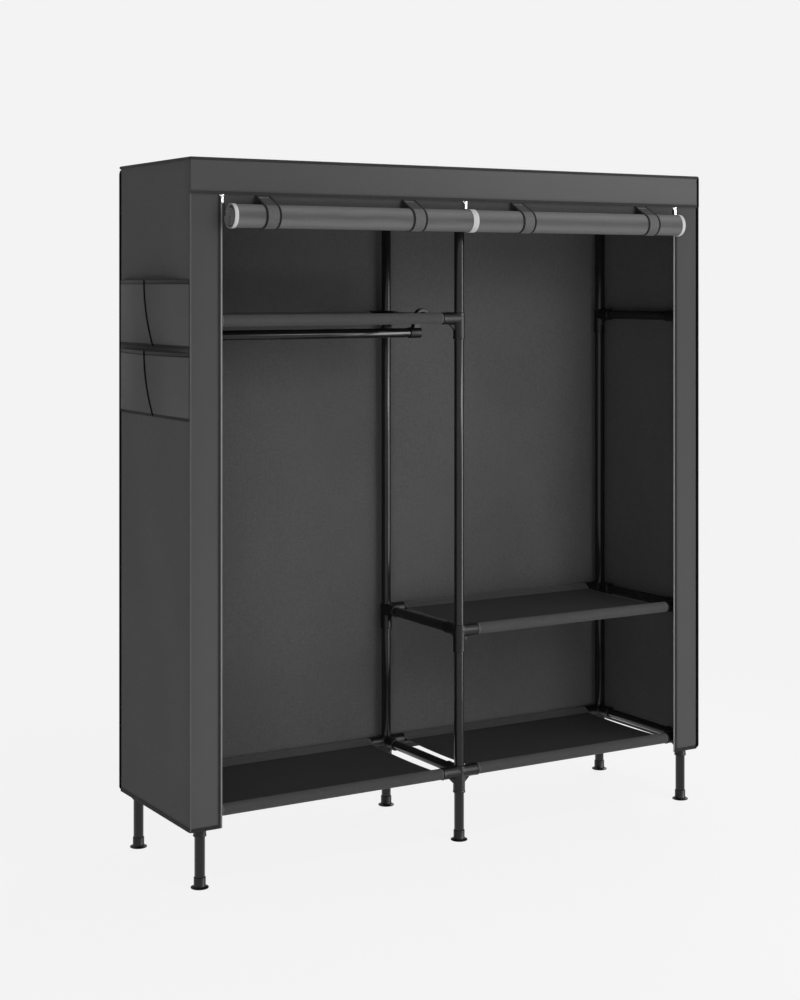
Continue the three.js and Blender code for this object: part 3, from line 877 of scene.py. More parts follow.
def seam_distance_on_cover(place):
    """How far a point of the cover is from the nearest fold or free edge."""
    gaps = sorted((
        min(place.x - cover_low.x, cover_high.x - place.x),
        min(place.y - cover_low.y, cover_high.y - place.y),
        cover_high.z - place.z,
    ))
    nearest = min(gaps[1], place.z - cover_low.z)
    if place.y < cover_low.y + 0.01:
        inner = min(abs(place.x - stile_edges["left"]), abs(place.x - stile_edges["right"]))
        nearest = min(nearest, inner)
    return max(nearest, 0.0)


cover = box_between(cover_low, cover_high)
pick(cover, "FACE", lambda face: face.normal.z < -0.9)
bpy.ops.mesh.delete(type="FACE")
shape_done()
pick(cover, "FACE", lambda face: face.normal.y < -0.9)
for edge_x in stile_edges.values():
    bpy.ops.mesh.bisect(plane_co=(edge_x, 0, 0), plane_no=(1, 0, 0))
    bpy.ops.mesh.select_mode(type="FACE")
    bpy.ops.mesh.select_all(action="SELECT")
shape_done()
pick(cover, "FACE", lambda face: face.normal.y < -0.9 and abs(face.center.x - middle_x) < 0.3)
bpy.ops.mesh.delete(type="FACE")
shape_done()
cover_points = cover.data.vertices
pick(cover, "EDGE", lambda edge: on_fold(
    (cover_points[edge.vertices[0]].co + cover_points[edge.vertices[1]].co) / 2
))
bpy.ops.mesh.bevel(offset=fold_radius, segments=3, affect="EDGES")
shape_done()
row_step = 0.045
for axis, start, end in zip("XYZ", cover_low, cover_high):
    slice_up(cover, axis, spread(start, end, row_step))
print("cover cut into faces:", count_faces(cover))

# %% The cover's slack
slack_waves = bpy.data.textures.new("slack waves", "CLOUDS")
slack_waves.noise_scale = 0.4
slack_waves.noise_depth = 1
slack_width = 0.16
cover_slack = 0.012
header_slack = 0.002
stile_reach = 0.006


def slacken(piece, distance_of, strength):
    """Moves a piece's cloth in and out, more the further it is from its seams."""
    group = piece.vertex_groups.new(name="slack")
    for point in piece.data.vertices:
        share = min(distance_of(point.co) / slack_width, 1.0)
        group.add([point.index], share * share * (3 - 2 * share), "REPLACE")
    modify(piece, "DISPLACE", texture=slack_waves, texture_coords="LOCAL", mid_level=0.5,
           strength=strength, vertex_group="slack")
    piece.vertex_groups.clear()


slacken(cover, seam_distance_on_cover, cover_slack)
for finish in (cover_cloth, inner_cloth, stile_cloth_painted_light, back_cloth):
    cover.data.materials.append(finish)
modify(cover, "SOLIDIFY", thickness=cover_thickness, offset=-1, use_even_offset=True,
       material_offset=1)
smooth(cover, 60)
# Faces on the front of the stiles take the stile cloth, painted paler towards its foot as painted
# light.
for face in cover.data.polygons:
    if face.center.y < cover_low.y + stile_reach and face.normal.y < -0.5:
        face.material_index = 2
    if face.material_index == 0 and face.normal.y > 0.7:
        face.material_index = 3
cover_nodes = ["cover_top", "cover_back", "cover_left_side", "cover_right_side",
               "cover_left_stile", "cover_right_stile"]
hand_over(cover, "cover_cloth_box", None, cover_nodes)
cover_width, cover_depth, cover_height = cover_high - cover_low

# %% [markdown]
# ## The header and the piping
# Above the doors a plain flap, the header, hangs from the front edge of the top. A cord sewn
# into a folded strip, called piping, runs along the seams, and a binding closes the lower edge.
# Piping is a line along the seam with a round section.

# %% Header
header_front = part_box("cover_header")[0].y
header_edge = header_bottom - header_hang
header_thickness = 0.0012
header_columns = 36
top, header_skin = cover_high.z, header_front + 0.0008
header_outline = [
    (cover_low.x, cover_low.y + 0.004, top - 0.0002),
    (cover_low.x, header_front + 0.0035, top - 0.0006),
    (cover_low.x, header_front + 0.0012, top - 0.0022),
    (cover_low.x, header_skin, top - 0.006),
    *[(cover_low.x, header_skin, z) for z in spread(top - 0.006, header_edge, 0.012)],
    (cover_low.x, header_skin, header_edge),
]
header = ribbon(header_outline, [(cover_width / header_columns, 0, 0)] * header_columns,
                header_thickness)


def seam_distance_on_header(place):
    """How far a point of the header is from its top seam or its ends."""
    side = min(place.x - cover_low.x, cover_high.x - place.x)
    return min(side, cover_high.z - place.z) if place.y < cover_low.y else 0.0


slacken(header, seam_distance_on_header, header_slack)
smooth(header, 60)
hand_over(header, "header_flap", header_cloth_painted_light, ["cover_header"])
print("header faces", count_faces(header))

# %% Piping along the seams and binding along the free edges
def piping(points, radius):
    """A round cord along a line of points."""
    piece = drawn_line(points, radius)
    smooth(piece, 50)
    return piece


seam_rise = 0.0004
rear_seam = 0.0054
front_seam = 0.0052
top_seam = 0.0042
header_seam = 0.0048
fold_seam = 0.0020
turned_in = 0.004
front_pipe_y = header_front + 0.0010
rear_y = cover_high.y - seam_rise
pipe_top = cover_high.z - 0.0024
pipe_left, pipe_right = cover_low.x + seam_rise, cover_high.x - seam_rise
top_line = [(x, y, pipe_top) for x, y in (
    (pipe_left, front_pipe_y), (pipe_left, rear_y), (pipe_right, rear_y),
    (pipe_right, front_pipe_y), (pipe_left, front_pipe_y),
)]
upright_low = cover_low.z + 0.006
upright_high = cover_high.z - 0.012


def upright_piping(x, y, radius):
    """Piping up a corner of the cover, with its ends turned in."""
    inward = 1 if x < middle_x else -1
    return piping([
        (x + inward * turned_in, y, upright_low),
        (x, y, upright_low + 0.006),
        (x, y, upright_high - 0.008),
        (x + inward * 0.0015, y, upright_high - 0.002),
        (x + inward * turned_in, y, upright_high),
    ], radius)


# The pipings up the rear corners are black. The black piping up the front right corner and along the
# header's right end is painted shade; the same seam on the front left is drawn pale, as a painted
# highlight.
header_end = [(cover_high.x + seam_rise, front_pipe_y + 0.0012, z)
              for z in (header_edge + 0.002, pipe_top - 0.002)]
black_and_shade_pipes = [
    upright_piping(cover_low.x + 0.0008, rear_y, rear_seam),
    upright_piping(cover_high.x - 0.0008, rear_y, rear_seam),
    upright_piping(cover_high.x, cover_low.y + seam_rise, front_seam),
    piping(header_end, header_seam),
]
hand_over(piping(top_line, top_seam), "piping_top", header_binding, ["cover_top"])
hand_over(join(black_and_shade_pipes), "piping_black_and_painted_shade", black_piping, ["cover_top"])
# The pale piping on the front left fold is a painted highlight.
front_line = [(cover_low.x + 0.0012, cover_low.y + 0.0012, z)
              for z in (cover_low.z, header_bottom)]
hand_over(piping(front_line, fold_seam), "piping_front_fold", highlight_fold_cloth,
          ["cover_left_stile"])

hem_height = 0.010
hem_out = 0.0004
hem_thickness = 0.0018
outer_low, outer_high = (cover_low.xy - Vector((hem_out, hem_out)),
                         cover_high.xy + Vector((hem_out, hem_out)))
inner_low, inner_high = (cover_low.xy + Vector((fold_radius, fold_radius)),
                         cover_high.xy - Vector((fold_radius, fold_radius)))
hem_line = [(x, y, cover_low.z) for x, y in (
    (stile_edges["left"], outer_low.y), (inner_low.x, outer_low.y),
    (outer_low.x, inner_low.y), (outer_low.x, inner_high.y),
    (inner_low.x, outer_high.y), (inner_high.x, outer_high.y),
    (outer_high.x, inner_high.y), (outer_high.x, inner_low.y),
    (inner_high.x, outer_low.y), (stile_edges["right"], outer_low.y),
)]
hem = ribbon(hem_line, [(0, 0, hem_height)], hem_thickness)
hand_over(hem, "hem_binding", dark_binding, ["cover_back"])

binding_width = 0.0085
binding_thickness = 0.0010
stile_binding = 0.007
stile_binding_thickness = 0.0008
on_stile = cover_low.y - 0.0003
bound = []
for side, way in (("left", -1), ("right", 1)):
    upright = [(stile_edges[side], on_stile, z) for z in (cover_low.z, header_bottom + 0.02)]
    bound.append(ribbon(upright, [(way * stile_binding, 0, 0)], stile_binding_thickness))
hand_over(join(bound), "stile_bindings", dark_binding, ["cover_right_stile"])
lower_edge = [(x, header_front - 0.0002, header_edge) for x in (cover_low.x, cover_high.x)]
bound = ribbon(lower_edge, [(0, 0, binding_width)], binding_thickness)
hand_over(bound, "header_binding", header_binding, ["cover_header"])
print("piping and bindings made")

# %% Seam stitches on the cover
stitch_away = 0.0025
stitch_z = header_edge + binding_width + stitch_away
hem_z = cover_low.z + hem_height + stitch_away
stile_x = stile_binding + stitch_away
seam_ends = [
    *[((x, on_stile, cover_low.z + hem_height), (x, on_stile, header_bottom))
      for x in (stile_edges["left"] - stile_x, stile_edges["right"] + stile_x)],
    ((cover_low.x, header_front, stitch_z), (cover_high.x, header_front, stitch_z)),
    *[((x, cover_low.y, hem_z), (x, cover_high.y, hem_z))
      for x in (cover_low.x - 0.0002, cover_high.x + 0.0002)],
    ((cover_low.x, cover_high.y, hem_z), (cover_high.x, cover_high.y, hem_z)),
]
seam_rows = [stitches(start, end) for start, end in seam_ends]
hand_over(join(seam_rows), "stitches_cover", dark_binding, ["cover_header"])
print("stitch rows on the cover:", len(seam_rows))

# %% [markdown]
# ## Side pockets
# Each row of pockets is one cloth, sewn to the side at its ends, along its bottom and down its
# middle. It stands off the side towards its top, so a flat grid is bent by a rule: a half wave
# across, times a rise from nothing at the bottom. The top edge, the line below it and the seam
# at the foot are rows of faces of their own, and the divider is a piping.

# %% Pockets
pocket_thickness = 0.0012
pocket_hem = 0.0078
hem_line_height = 0.0036
pocket_seam = 0.0085
pocket_step = 0.012
divider_radius = 0.0028
side_gap = 0.0008
bulge_inset = 0.0015
painted_shade_strip_thickness = 0.0008


def pocket_stand(across, up, bulge):
    """How far a pocket stands off the side, at shares of its width and height."""
    rise = 1 - (1 - up) ** 2
    wave = 0.05 * math.sin(5 * math.pi * across) * rise
    return side_gap + bulge * (math.sin(math.pi * across) * rise + wave * across * (1 - across))


def pocket_row(node, name, drop):
    """One row of two pockets on the left side."""
    low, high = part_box(node)
    low.z -= drop
    width, height = high.y - low.y, high.z - low.z
    side_x = high.x
    bulge = high.x - low.x - bulge_inset
    clear()
    bpy.ops.mesh.primitive_plane_add(
        size=1, rotation=(0, math.radians(-90), 0),
        location=(side_x, (low.y + high.y) / 2, (low.z + high.z) / 2),
    )
    cloth = bpy.context.object
    cloth.scale = (height, width, 1)
    settle(cloth)
    hem_start = high.z - pocket_hem
    seam, line_start = low.z + pocket_seam, hem_start - hem_line_height
    slice_up(cloth, "Y", spread(low.y, high.y, pocket_step))
    slice_up(cloth, "Z", [seam, *spread(seam, line_start, pocket_step), line_start, hem_start])
    for point in cloth.data.vertices:
        across, up = (point.co.y - low.y) / width, (point.co.z - low.z) / height
        point.co.x = side_x - pocket_stand(across, up, bulge)
    modify(cloth, "SOLIDIFY", thickness=pocket_thickness, offset=0)

    def finish_of(place):
        if line_start < place.z < hem_start or place.z < seam:
            return 1
        return 2 if place.z > hem_start else 0

    dye(cloth, (pocket_cloth, deep_binding, hem_and_shade_cloth), finish_of)
    smooth(cloth, 50)
    hand_over(cloth, name, None, [node])
    middle = (middle_y - low.y) / width
    divider = []
    for up in [0.02, *spread(0.02, 1.0, 0.05), 1.0]:
        x = side_x - pocket_stand(middle, up, bulge) - divider_radius / 2
        divider.append((x, middle_y, low.z + up * height))
    hand_over(piping(divider, divider_radius), f"{name}_divider", black_piping,
              [node])
    print(name, "faces", count_faces(cloth), "stands off", round(bulge, 4))


pocket_row("pocket_row_upper", "pocket_cloth_upper", drop=0.0055)
pocket_row("pocket_row_lower", "pocket_cloth_lower", drop=0.006)
# A dark strip on the side between the two rows of pockets, in the hem's grey, is painted shade.
upper_low, lower_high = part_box("pocket_row_upper")[0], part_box("pocket_row_lower")[1]
painted_shade_strip_line = [(lower_high.x - 0.0005, y, lower_high.z - 0.004)
                for y in (upper_low.y, lower_high.y)]
painted_shade_strip_height = upper_low.z - lower_high.z - 0.002
painted_shade_strip = ribbon(painted_shade_strip_line, [(0, 0, painted_shade_strip_height)], painted_shade_strip_thickness)
hand_over(painted_shade_strip, "pocket_painted_shade_strip", hem_and_shade_cloth, ["pocket_row_upper"])

# %% [markdown]
# ## Rolled doors
# Each door hangs from under the header and is rolled up. The rolled part is a long spiral, drawn
# from its outer end at the back of the roll, down and round. A pale zip tape is sewn to both
# side edges of a door and wound up with it, so its outer turn shows at each end of the roll,
# in ridges where the tape and its teeth lie over each other.

# %% Roll
roll_box = {side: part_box(f"door_roll_{side}") for side in sides}
roll_radius = (roll_box["left"][1].y - roll_box["left"][0].y) / 2
roll_axis = {
    side: Vector((0, middle_of(f"door_roll_{side}").y, roll_box[side][0].z + roll_radius))
    for side in sides
}
roll_core = 0.0045
door_thickness = 0.0011
door_turns = 14
door_columns = 8
edge_turns = 4
turn_steps = 40
edge_thickness = 0.0040
inner_edge_width = 0.0090
outer_edge_width = 0.0108
end_radius = 0.0322
tape_thickness = 0.0008
tape_gap = 0.0003
door_shift = -0.0055
roll_overhang = 0.0008
clear_of_slider = -0.7356
roll_ends = {
    side: (max(low.x + door_shift - roll_overhang, clear_of_slider),
           high.x + door_shift + roll_overhang)
    for side, (low, high) in roll_box.items()
}


def on_round(x, axis, radius, angle):
    """A point on a circle about an axis along X, at an angle from the back."""
    return (x, axis.y + radius * math.cos(angle), axis.z + radius * math.sin(angle))


def winding(axis, radius, turns):
    """The points of a wound cloth, from the back of the roll down and round to its middle."""
    pitch = (radius - roll_core) / turns
    line = []
    for step in range(turns * turn_steps + 1):
        turn = step / turn_steps
        eased = min(max((turn - 2 / 3) * 3, 0.0), 1.0)
        eased = eased * eased * (3 - 2 * eased)
        reach = radius - pitch * (eased if turn < 1 else turn)
        line.append(on_round(axis.x, axis, reach, -2 * math.pi * turn))
    return line


def tape_turn(turns, axis, width):
    """The pale tape round the first turn of a wound edge, in three ridges."""
    line = []
    for point in turns[:turn_steps - 1]:
        out = Vector((0, point[1] - axis.y, point[2] - axis.z)).normalized()
        line.append(Vector(point) + out * (edge_thickness + tape_thickness) / 2)
    ridge = width / 3 - tape_gap
    ridges = []
    for count in range(3):
        shift = Vector((tape_gap / 2 + count * width / 3, 0, 0))
        ridges.append(ribbon([place + shift for place in line], [(ridge, 0, 0)],
                             tape_thickness))
    return join(ridges)


def rolled_door(side):
    """The rolled part of one door: its cloth, its two bulky edges and their pale tape."""
    node = f"door_roll_{side}"
    body = f"{side}_door"
    low_x, high_x = roll_ends[side]
    widths = (outer_edge_width, inner_edge_width)
    if side == "right":
        widths = widths[::-1]
    start = Vector((low_x + widths[0], roll_axis[side].y, roll_axis[side].z))
    inner = high_x - low_x - sum(widths)
    line = winding(start, roll_radius - door_thickness / 2, door_turns)
    cloth = ribbon(line, [(inner / door_columns, 0, 0)] * door_columns, door_thickness)
    smooth(cloth, 50)
    hand_over(cloth, f"door_roll_cloth_{side}", door_cloth_highlight_bands, [node], body)
    edges, tapes = [], []
    for x, width in zip((low_x, high_x - widths[1]), widths):
        end = Vector((x, start.y, start.z))
        turns = winding(end, end_radius - edge_thickness / 2, edge_turns)
        edges.append(ribbon(turns, [(width, 0, 0)], edge_thickness))
        tapes.append(tape_turn(turns, end, width))
    edges, tapes = join(edges), join(tapes)
    for piece, name, finish in ((edges, "edges", door_edge_cloth), (tapes, "tape", pale_tape)):
        smooth(piece, 50)
        hand_over(piece, f"door_roll_{name}_{side}", finish, [node], body)
    for piece in (cloth, edges, tapes):
        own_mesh(piece)
    print(node, "cloth wound", round(length_of(line), 3), "faces",
          count_faces(cloth, edges, tapes))
    return [cloth, edges, tapes]


door_parts = {side: rolled_door(side) for side in sides}

# %% [markdown]
# ## The hanging part of a door
# Between the header and its roll, a door shows a strip of its cloth. It hangs straight, then
# leans out to the back of the roll.

# %% Door tops
strip_columns = 20
strip_inset = 0.0007
foot_inset = 0.0009
bend_drop = 0.009


def door_top(side):
    """The strip of door cloth between the header and the roll."""
    low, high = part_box(f"door_top_{side}")
    if side == "left":
        high.x = roll_ends["left"][1]
    else:
        low.x = roll_ends["right"][0]
    face = cover_low.y + strip_inset
    bend_z = header_edge - bend_drop
    foot = low.y + foot_inset
    line = [(low.x, face, z) for z in [high.z, *spread(high.z, bend_z, 0.012), bend_z]]
    lean = [bend_z, *spread(bend_z, low.z, 0.006), low.z]
    for z in lean[1:]:
        share = (bend_z - z) / (bend_z - low.z)
        line.append((low.x, face + (foot - face) * share, z))
    strip = ribbon(line, [((high.x - low.x) / strip_columns, 0, 0)] * strip_columns,
                   door_thickness)
    smooth(strip, 60)
    name = f"door_top_cloth_painted_shade_{side}"
    # The strip is painted darker than the roll, as painted shade under the header.
    hand_over(strip, name, door_top_cloth_painted_shade, [f"door_top_{side}"], None)
    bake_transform(strip)


for side in sides:
    door_top(side)

# %% [markdown]
# ## Straps
# Two straps hold each rolled door. A strap comes down from under the header, goes round the
# front and the underside of the roll, and goes up behind the door. Its edges are bound with a
# darker tape. The outline is a straight line, an arc round the roll, and a straight line.

# %% Straps
strap_thickness = 0.0011
strap_edge = 0.0065
strap_gap = 0.0004
strap_steps = 36
strap_touch = 5
strap_columns = 4
strap_inset = 0.0018
strap_rise = 0.0125
strap_stitch = 0.0006


def touch_angle(y, z, axis, radius, side):
    """The angle at which a straight line from a point touches the round of a strap."""
    away = math.atan2(z - axis.z, y - axis.y)
    return away + side * math.acos(radius / math.hypot(y - axis.y, z - axis.z))


def strap_outline(x, high, axis):
    """The middle line of a strap's cloth."""
    radius = roll_radius + strap_gap + strap_thickness / 2
    front_y = on_stile - strap_thickness / 2
    front_z = header_edge - 0.002
    rear_y = cover_low.y + strap_inset + strap_thickness / 2
    rear_z = axis.z + strap_rise
    start = touch_angle(front_y, front_z, axis, radius, 1)
    end = touch_angle(rear_y, rear_z, axis, radius, -1) + 2 * math.pi
    line = [(x, front_y, high), (x, front_y, front_z)]
    touch = Vector(on_round(x, axis, radius, start))
    line += [tuple(Vector(line[-1]).lerp(touch, share)) for share in (0.25, 0.5, 0.75)]
    line += [on_round(x, axis, radius, start + (end - start) * step / strap_steps)
             for step in range(strap_steps + 1)]
    return line + [(x, rear_y, rear_z), (x, rear_y, high)]


def strap(side, place):
    """One strap, with its bound edges and the stitches under the header."""
    node = f"strap_{side}_{place}"
    low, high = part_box(node)
    low.x, high.x = low.x + door_shift, high.x + door_shift
    width = high.x - low.x
    line = strap_outline(low.x, high.z, roll_axis[side])
    body = width - 2 * strap_edge
    pulls = [(body / strap_columns, 0, 0)] * strap_columns
    pulls = [(strap_edge, 0, 0), *pulls, (strap_edge, 0, 0)]
    cloth = ribbon(line, pulls, strap_thickness)
    touch_z = line[strap_touch][2]

    # Above where it meets the roll, the strap is painted darker, a painted shade under the header.
    def finish_of(place):
        if place.x < low.x + strap_edge or place.x > high.x - strap_edge:
            return 1
        return 2 if place.z > touch_z else 0

    dye(cloth, (strap_cloth, deep_binding, strap_top_cloth_painted_shade), finish_of)
    smooth(cloth, 50)
    hand_over(cloth, f"strap_cloth_{side}_{place}", None, [node])
    seam = Vector(line[1]).lerp(Vector(line[strap_touch]), 0.2) + Vector((0, -0.0007, 0.0005))
    row = stitches((low.x + strap_edge, *seam.yz), (high.x - strap_edge, *seam.yz), strap_stitch)
    hand_over(row, f"stitches_strap_{side}_{place}", pale_thread, [node])
    for piece in (cloth, row):
        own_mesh(piece)
    return length_of(line)


strap_lengths = [strap(side, place) for side in sides for place in ("inner", "outer")]
print("strap lengths", [round(length, 3) for length in strap_lengths])

# %% [markdown]
# ## Zips
# A zip is a tape with a row of teeth along one edge. The teeth are one small block, repeated by
# Array. A slider is two plates that taper towards the closed zip, held apart by a web, with two
# ears and a pin that carry the pull tab.

# %% Zip tapes and teeth
zip_tape_thickness = 0.0012
tooth_pitch = 0.0026
tooth_size = Vector((0.0020, 0.0022, 0.0013))


def zip_tape(side, way):
    """The tape and teeth on the inner edge of a stile."""
    node = f"zip_tape_{side}"
    low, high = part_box(node)
    depth = (low.y + high.y) / 2
    tape = ribbon([(low.x, depth, low.z), (low.x, depth, high.z)],
                  [(high.x - low.x, 0, 0)], zip_tape_thickness)
    smooth(tape)
    hand_over(tape, f"zip_tape_cloth_{side}", grey_tape, [node])
    edge = high.x if way > 0 else low.x
    first = Vector((edge - way * tooth_size.x / 2, depth, low.z + tooth_pitch))
    teeth = box_between(first - tooth_size / 2, first + tooth_size / 2)
    pick(teeth, "FACE", lambda face: face.normal.x * way > 0.9)
    bpy.ops.transform.resize(value=(1, 0.6, 0.6))
    shape_done()
    repeat(teeth, int((high.z - low.z) / tooth_pitch) - 1, (0, 0, tooth_pitch))
    hand_over(teeth, f"zip_teeth_{side}", zip_teeth, [node])
    print(node, "teeth faces", count_faces(teeth))


zip_tape("left", 1)
zip_tape("right", -1)

# %% Sliders and pull tabs
plate_thickness = 0.0014
pin_radius = 0.0008
pin_length = 0.0066
slider_extra = 0.0006
web_half = 0.0010
ear_width = 0.0010
ear_top, ear_foot = 0.0006, 0.0040
block_round = 0.0003
neck_half, neck_thickness = 0.0018, 0.0012
tab_length = 0.0135
tab_thickness = 0.0014
tab_corner = 0.0016
tab_rim = 0.0009
tab_round = 0.0002


def block(low, high, bevel_width):
    """A bevelled block between two corners."""
    piece = box_between(low, high)
    round_edges(piece, bevel_width)
    return piece


def eye_ring(radius, width, thickness):
    """The ring at the head of a pull tab, round the X axis."""
    piece = cylinder(radius, width, (0, 0, 0), along_x, sides=64, ends="NOTHING")
    modify(piece, "SOLIDIFY", thickness=thickness, offset=-1)
    round_edges(piece, thickness * 0.3)
    return piece


def plate(y, half_width, height):
    """One plate of a slider, narrower at its foot."""
    piece = box_between((-half_width, y - plate_thickness / 2, 0),
                        (half_width, y + plate_thickness / 2, height))
    slice_up(piece, "Z", [height * 0.4, height * 0.6])
    pick(piece, "VERT", lambda point: point.co.z < height * 0.5)
    bpy.ops.transform.resize(value=(0.5, 1, 1), center_override=(0, y, height / 2))
    shape_done()
    round_edges(piece, 0.0005, 3)
    return piece


def zip_slider(side):
    """A slider, and the pin and eye from which its pull tab hangs."""
    low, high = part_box(f"zip_slider_{side}")
    pin = middle_of(f"zip_pull_{side}")
    pull_low, pull_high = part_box(f"zip_pull_{side}")
    eye = (pull_high.y - pull_low.y) / 2
    pin.z = pull_high.z - eye
    middle = (low.x + high.x) / 2
    half, height = (high.x - low.x) / 2 + slider_extra, high.z - low.z
    front = on_stile - plate_thickness / 2
    rear = high.y - plate_thickness / 2
    parts = [plate(front, half, height), plate(rear, half, height)]
    parts.append(block((-web_half, front, height * 0.45), (web_half, rear, height * 0.98),
                       block_round))
    for way in (-1, 1):
        near, far = way * (pin_length / 2 - ear_width), way * pin_length / 2
        parts.append(block((min(near, far), low.y + 0.0002, height - ear_foot),
                           (max(near, far), front, height - ear_top), block_round))
    parts.append(cylinder(pin_radius, pin_length, (0, pin.y, pin.z - low.z), along_x, sides=16))
    slider = join(parts)
    slider.location = (middle, 0, low.z)
    settle(slider)
    smooth(slider, 40)
    body = standing if side == "centre" else f"{side}_slider"
    hand_over(slider, f"plated_slider_{side}", plated_metal,
              [f"zip_slider_{side}"], body)
    return pin, eye, pull_low, pull_high


def pull_tab(side, pin, eye, low, high):
    """A pull tab that hangs from its pin."""
    half = (high.x - low.x) / 2
    shoulder = pin.z - low.z - tab_length
    parts = [eye_ring(eye, 2 * neck_half, eye - pin_radius - 0.0002),
             block((-neck_half, -neck_thickness / 2, -shoulder - 0.001),
                   (neck_half, neck_thickness / 2, -eye * 0.8), tab_round)]
    tab = box_between((-0.85 * half, -tab_thickness / 2, low.z - pin.z),
                      (0.85 * half, tab_thickness / 2, -shoulder))
    tab_points = tab.data.vertices
    pick(tab, "EDGE", lambda edge: abs(
        tab_points[edge.vertices[0]].co.y - tab_points[edge.vertices[1]].co.y
    ) > 0.001)
    bpy.ops.mesh.bevel(offset=tab_corner, segments=4, affect="EDGES")
    shape_done()
    pick(tab, "FACE", lambda face: abs(face.normal.y) > 0.9)
    bpy.ops.mesh.inset(thickness=tab_rim, use_individual=True)
    bpy.ops.transform.resize(value=(1, 0.6, 1), center_override=(0, 0, 0))
    shape_done()
    round_edges(tab, tab_round)
    parts.append(tab)
    pull = join(parts)
    pull.location = pin
    settle(pull)
    smooth(pull, 40)
    hand_over(pull, f"plated_pull_{side}", plated_metal,
              [f"zip_pull_{side}"], f"{side}_pull")
    return count_faces(pull)


for side in ("left", "centre", "right"):
    print("pull tab faces", pull_tab(side, *zip_slider(side)))

# %% [markdown]
# ## Hanging rail
# The rail is a tube with a moulded end piece at each end: a cap over the tube, and a hook that
# lies over a depth bar. The hook is a flat face that is pulled up for its lip, spun half way
# round the bar, and pulled down to the cap. Both parts are remeshed into one moulding.

# %% Rail and its hooks
rail_low, rail_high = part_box("hanging_rail")
rail_axis = (rail_low + rail_high) / 2
rail_extra = 0.0013
rail_rise = 0.0012
rail_radius = (rail_high.z - rail_low.z) / 2 + rail_extra
rail_axis.z += rail_rise
rail = tube((rail_low.x, rail_axis.y, rail_axis.z), (rail_high.x, rail_axis.y, rail_axis.z),
            rail_radius)
hand_over(rail, "tube_hanging_rail", coated_steel, ["hanging_rail"], "rail")

cap_radius = 0.0160
cap_length = 0.038
cap_start = 0.006
hook_inner = tube_radius + 0.0003
hook_wall = 0.0112
hook_width = 0.018
hook_lip = 0.006
hook_spread = 0.007
hook_round = 0.0015
cap_bore = 0.022
rail_drop = levels["upper"] - rail_axis.z


def rail_hook():
    """An end piece about the depth bar's axis, with its cap along +X."""
    clear()
    hook_middle = hook_inner + hook_wall / 2
    bpy.ops.mesh.primitive_plane_add(size=1, location=(-hook_middle, 0, -hook_lip))
    hook = bpy.context.object
    hook.scale = (hook_wall, hook_width, 1)
    settle(hook)
    pick(hook, "FACE", lambda face: True)
    draw_out((0, 0, hook_lip))
    bpy.ops.mesh.spin(steps=24, angle=-math.pi, center=(0, 0, 0), axis=(0, 1, 0))
    draw_out((0, 0, -hook_lip))
    shank = rail_drop - cap_radius * 0.8
    draw_out((0, 0, hook_lip - shank))
    bpy.ops.transform.resize(
        value=(1 + 2 * hook_spread / hook_wall, 1, 1), center_override=(hook_middle, 0, -shank)
    )
    bpy.ops.mesh.select_all(action="SELECT")
    bpy.ops.mesh.remove_doubles(threshold=0.00001)
    bpy.ops.mesh.normals_make_consistent(inside=False)
    shape_done()
    round_edges(hook, hook_round, 3, above=40)
    cap = cylinder(cap_radius, cap_length, (cap_start + cap_length / 2, 0, -rail_drop), along_x,
                   sides=64)
    pick(cap, "FACE", lambda face: face.normal.x > 0.9)
    bpy.ops.mesh.inset(thickness=cap_radius - rail_radius - 0.0003)
    draw_out((-cap_bore, 0, 0))
    shape_done()
    return one_moulding([hook, cap], grain=0.0009, kept=0.25)


hook_shape = rail_hook()
print("hook size", tuple(round(size, 4) for size in hook_shape.dimensions), "faces",
      count_faces(hook_shape))
for side, column, turn in (("left", "left", 0), ("right", "centre", math.pi)):
    piece = copy_to(hook_shape, (0, 0, 0))
    piece.rotation_euler.z = turn
    piece.location = (post_x[column], rail_axis.y, levels["upper"])
    hand_over(piece, f"moulded_rail_hook_{side}", moulded_plastic,
              [f"rail_hook_{side}"], "rail")
bpy.data.objects.remove(hook_shape)

# %% [markdown]
# ## Floor and light
# The floor is a wide, level, pale sheet. For the camera it mostly shows its own pale colour, so
# that it looks white up to its far end, and it keeps a part of the wardrobe's shadow. Large
# soft lamps light the front from above and below, the left side, the top and the back. Cloth
# shows their light evenly, without a shine of its own, so all but the one at the back are left
# out of reflections. Two more lamps are seen only in reflections: a tall one far to the right,
# which draws the thin bright line down each post, and a flat one at the height of the hanging
# rail, which draws the line along it.

# %% Floor
background_grey = 243
lit_floor = 0.35
shadow_seen = 0.12
shadow_near, shadow_far = 1.0, 2.6
floor_depth = 0.0002


def seen_node(tree):
    """1 where the camera sees a surface, by itself or in a shiny piece, and 0 elsewhere."""
    rays = add_node(tree, "LightPath").outputs
    return math_node(tree, "MAXIMUM", rays["Is Camera Ray"], rays["Is Glossy Ray"])


def mix_surfaces(tree, share, first, second, output):
    """Mixes a share of a second shader into a first one and ends the tree with it."""
    mixed = add_node(tree, "MixShader", Fac=share)
    tree.links.new(first.outputs[0], mixed.inputs[1])
    tree.links.new(second.outputs[0], mixed.inputs[2])
    tree.links.new(mixed.outputs[0], tree.nodes[output].inputs["Surface"])


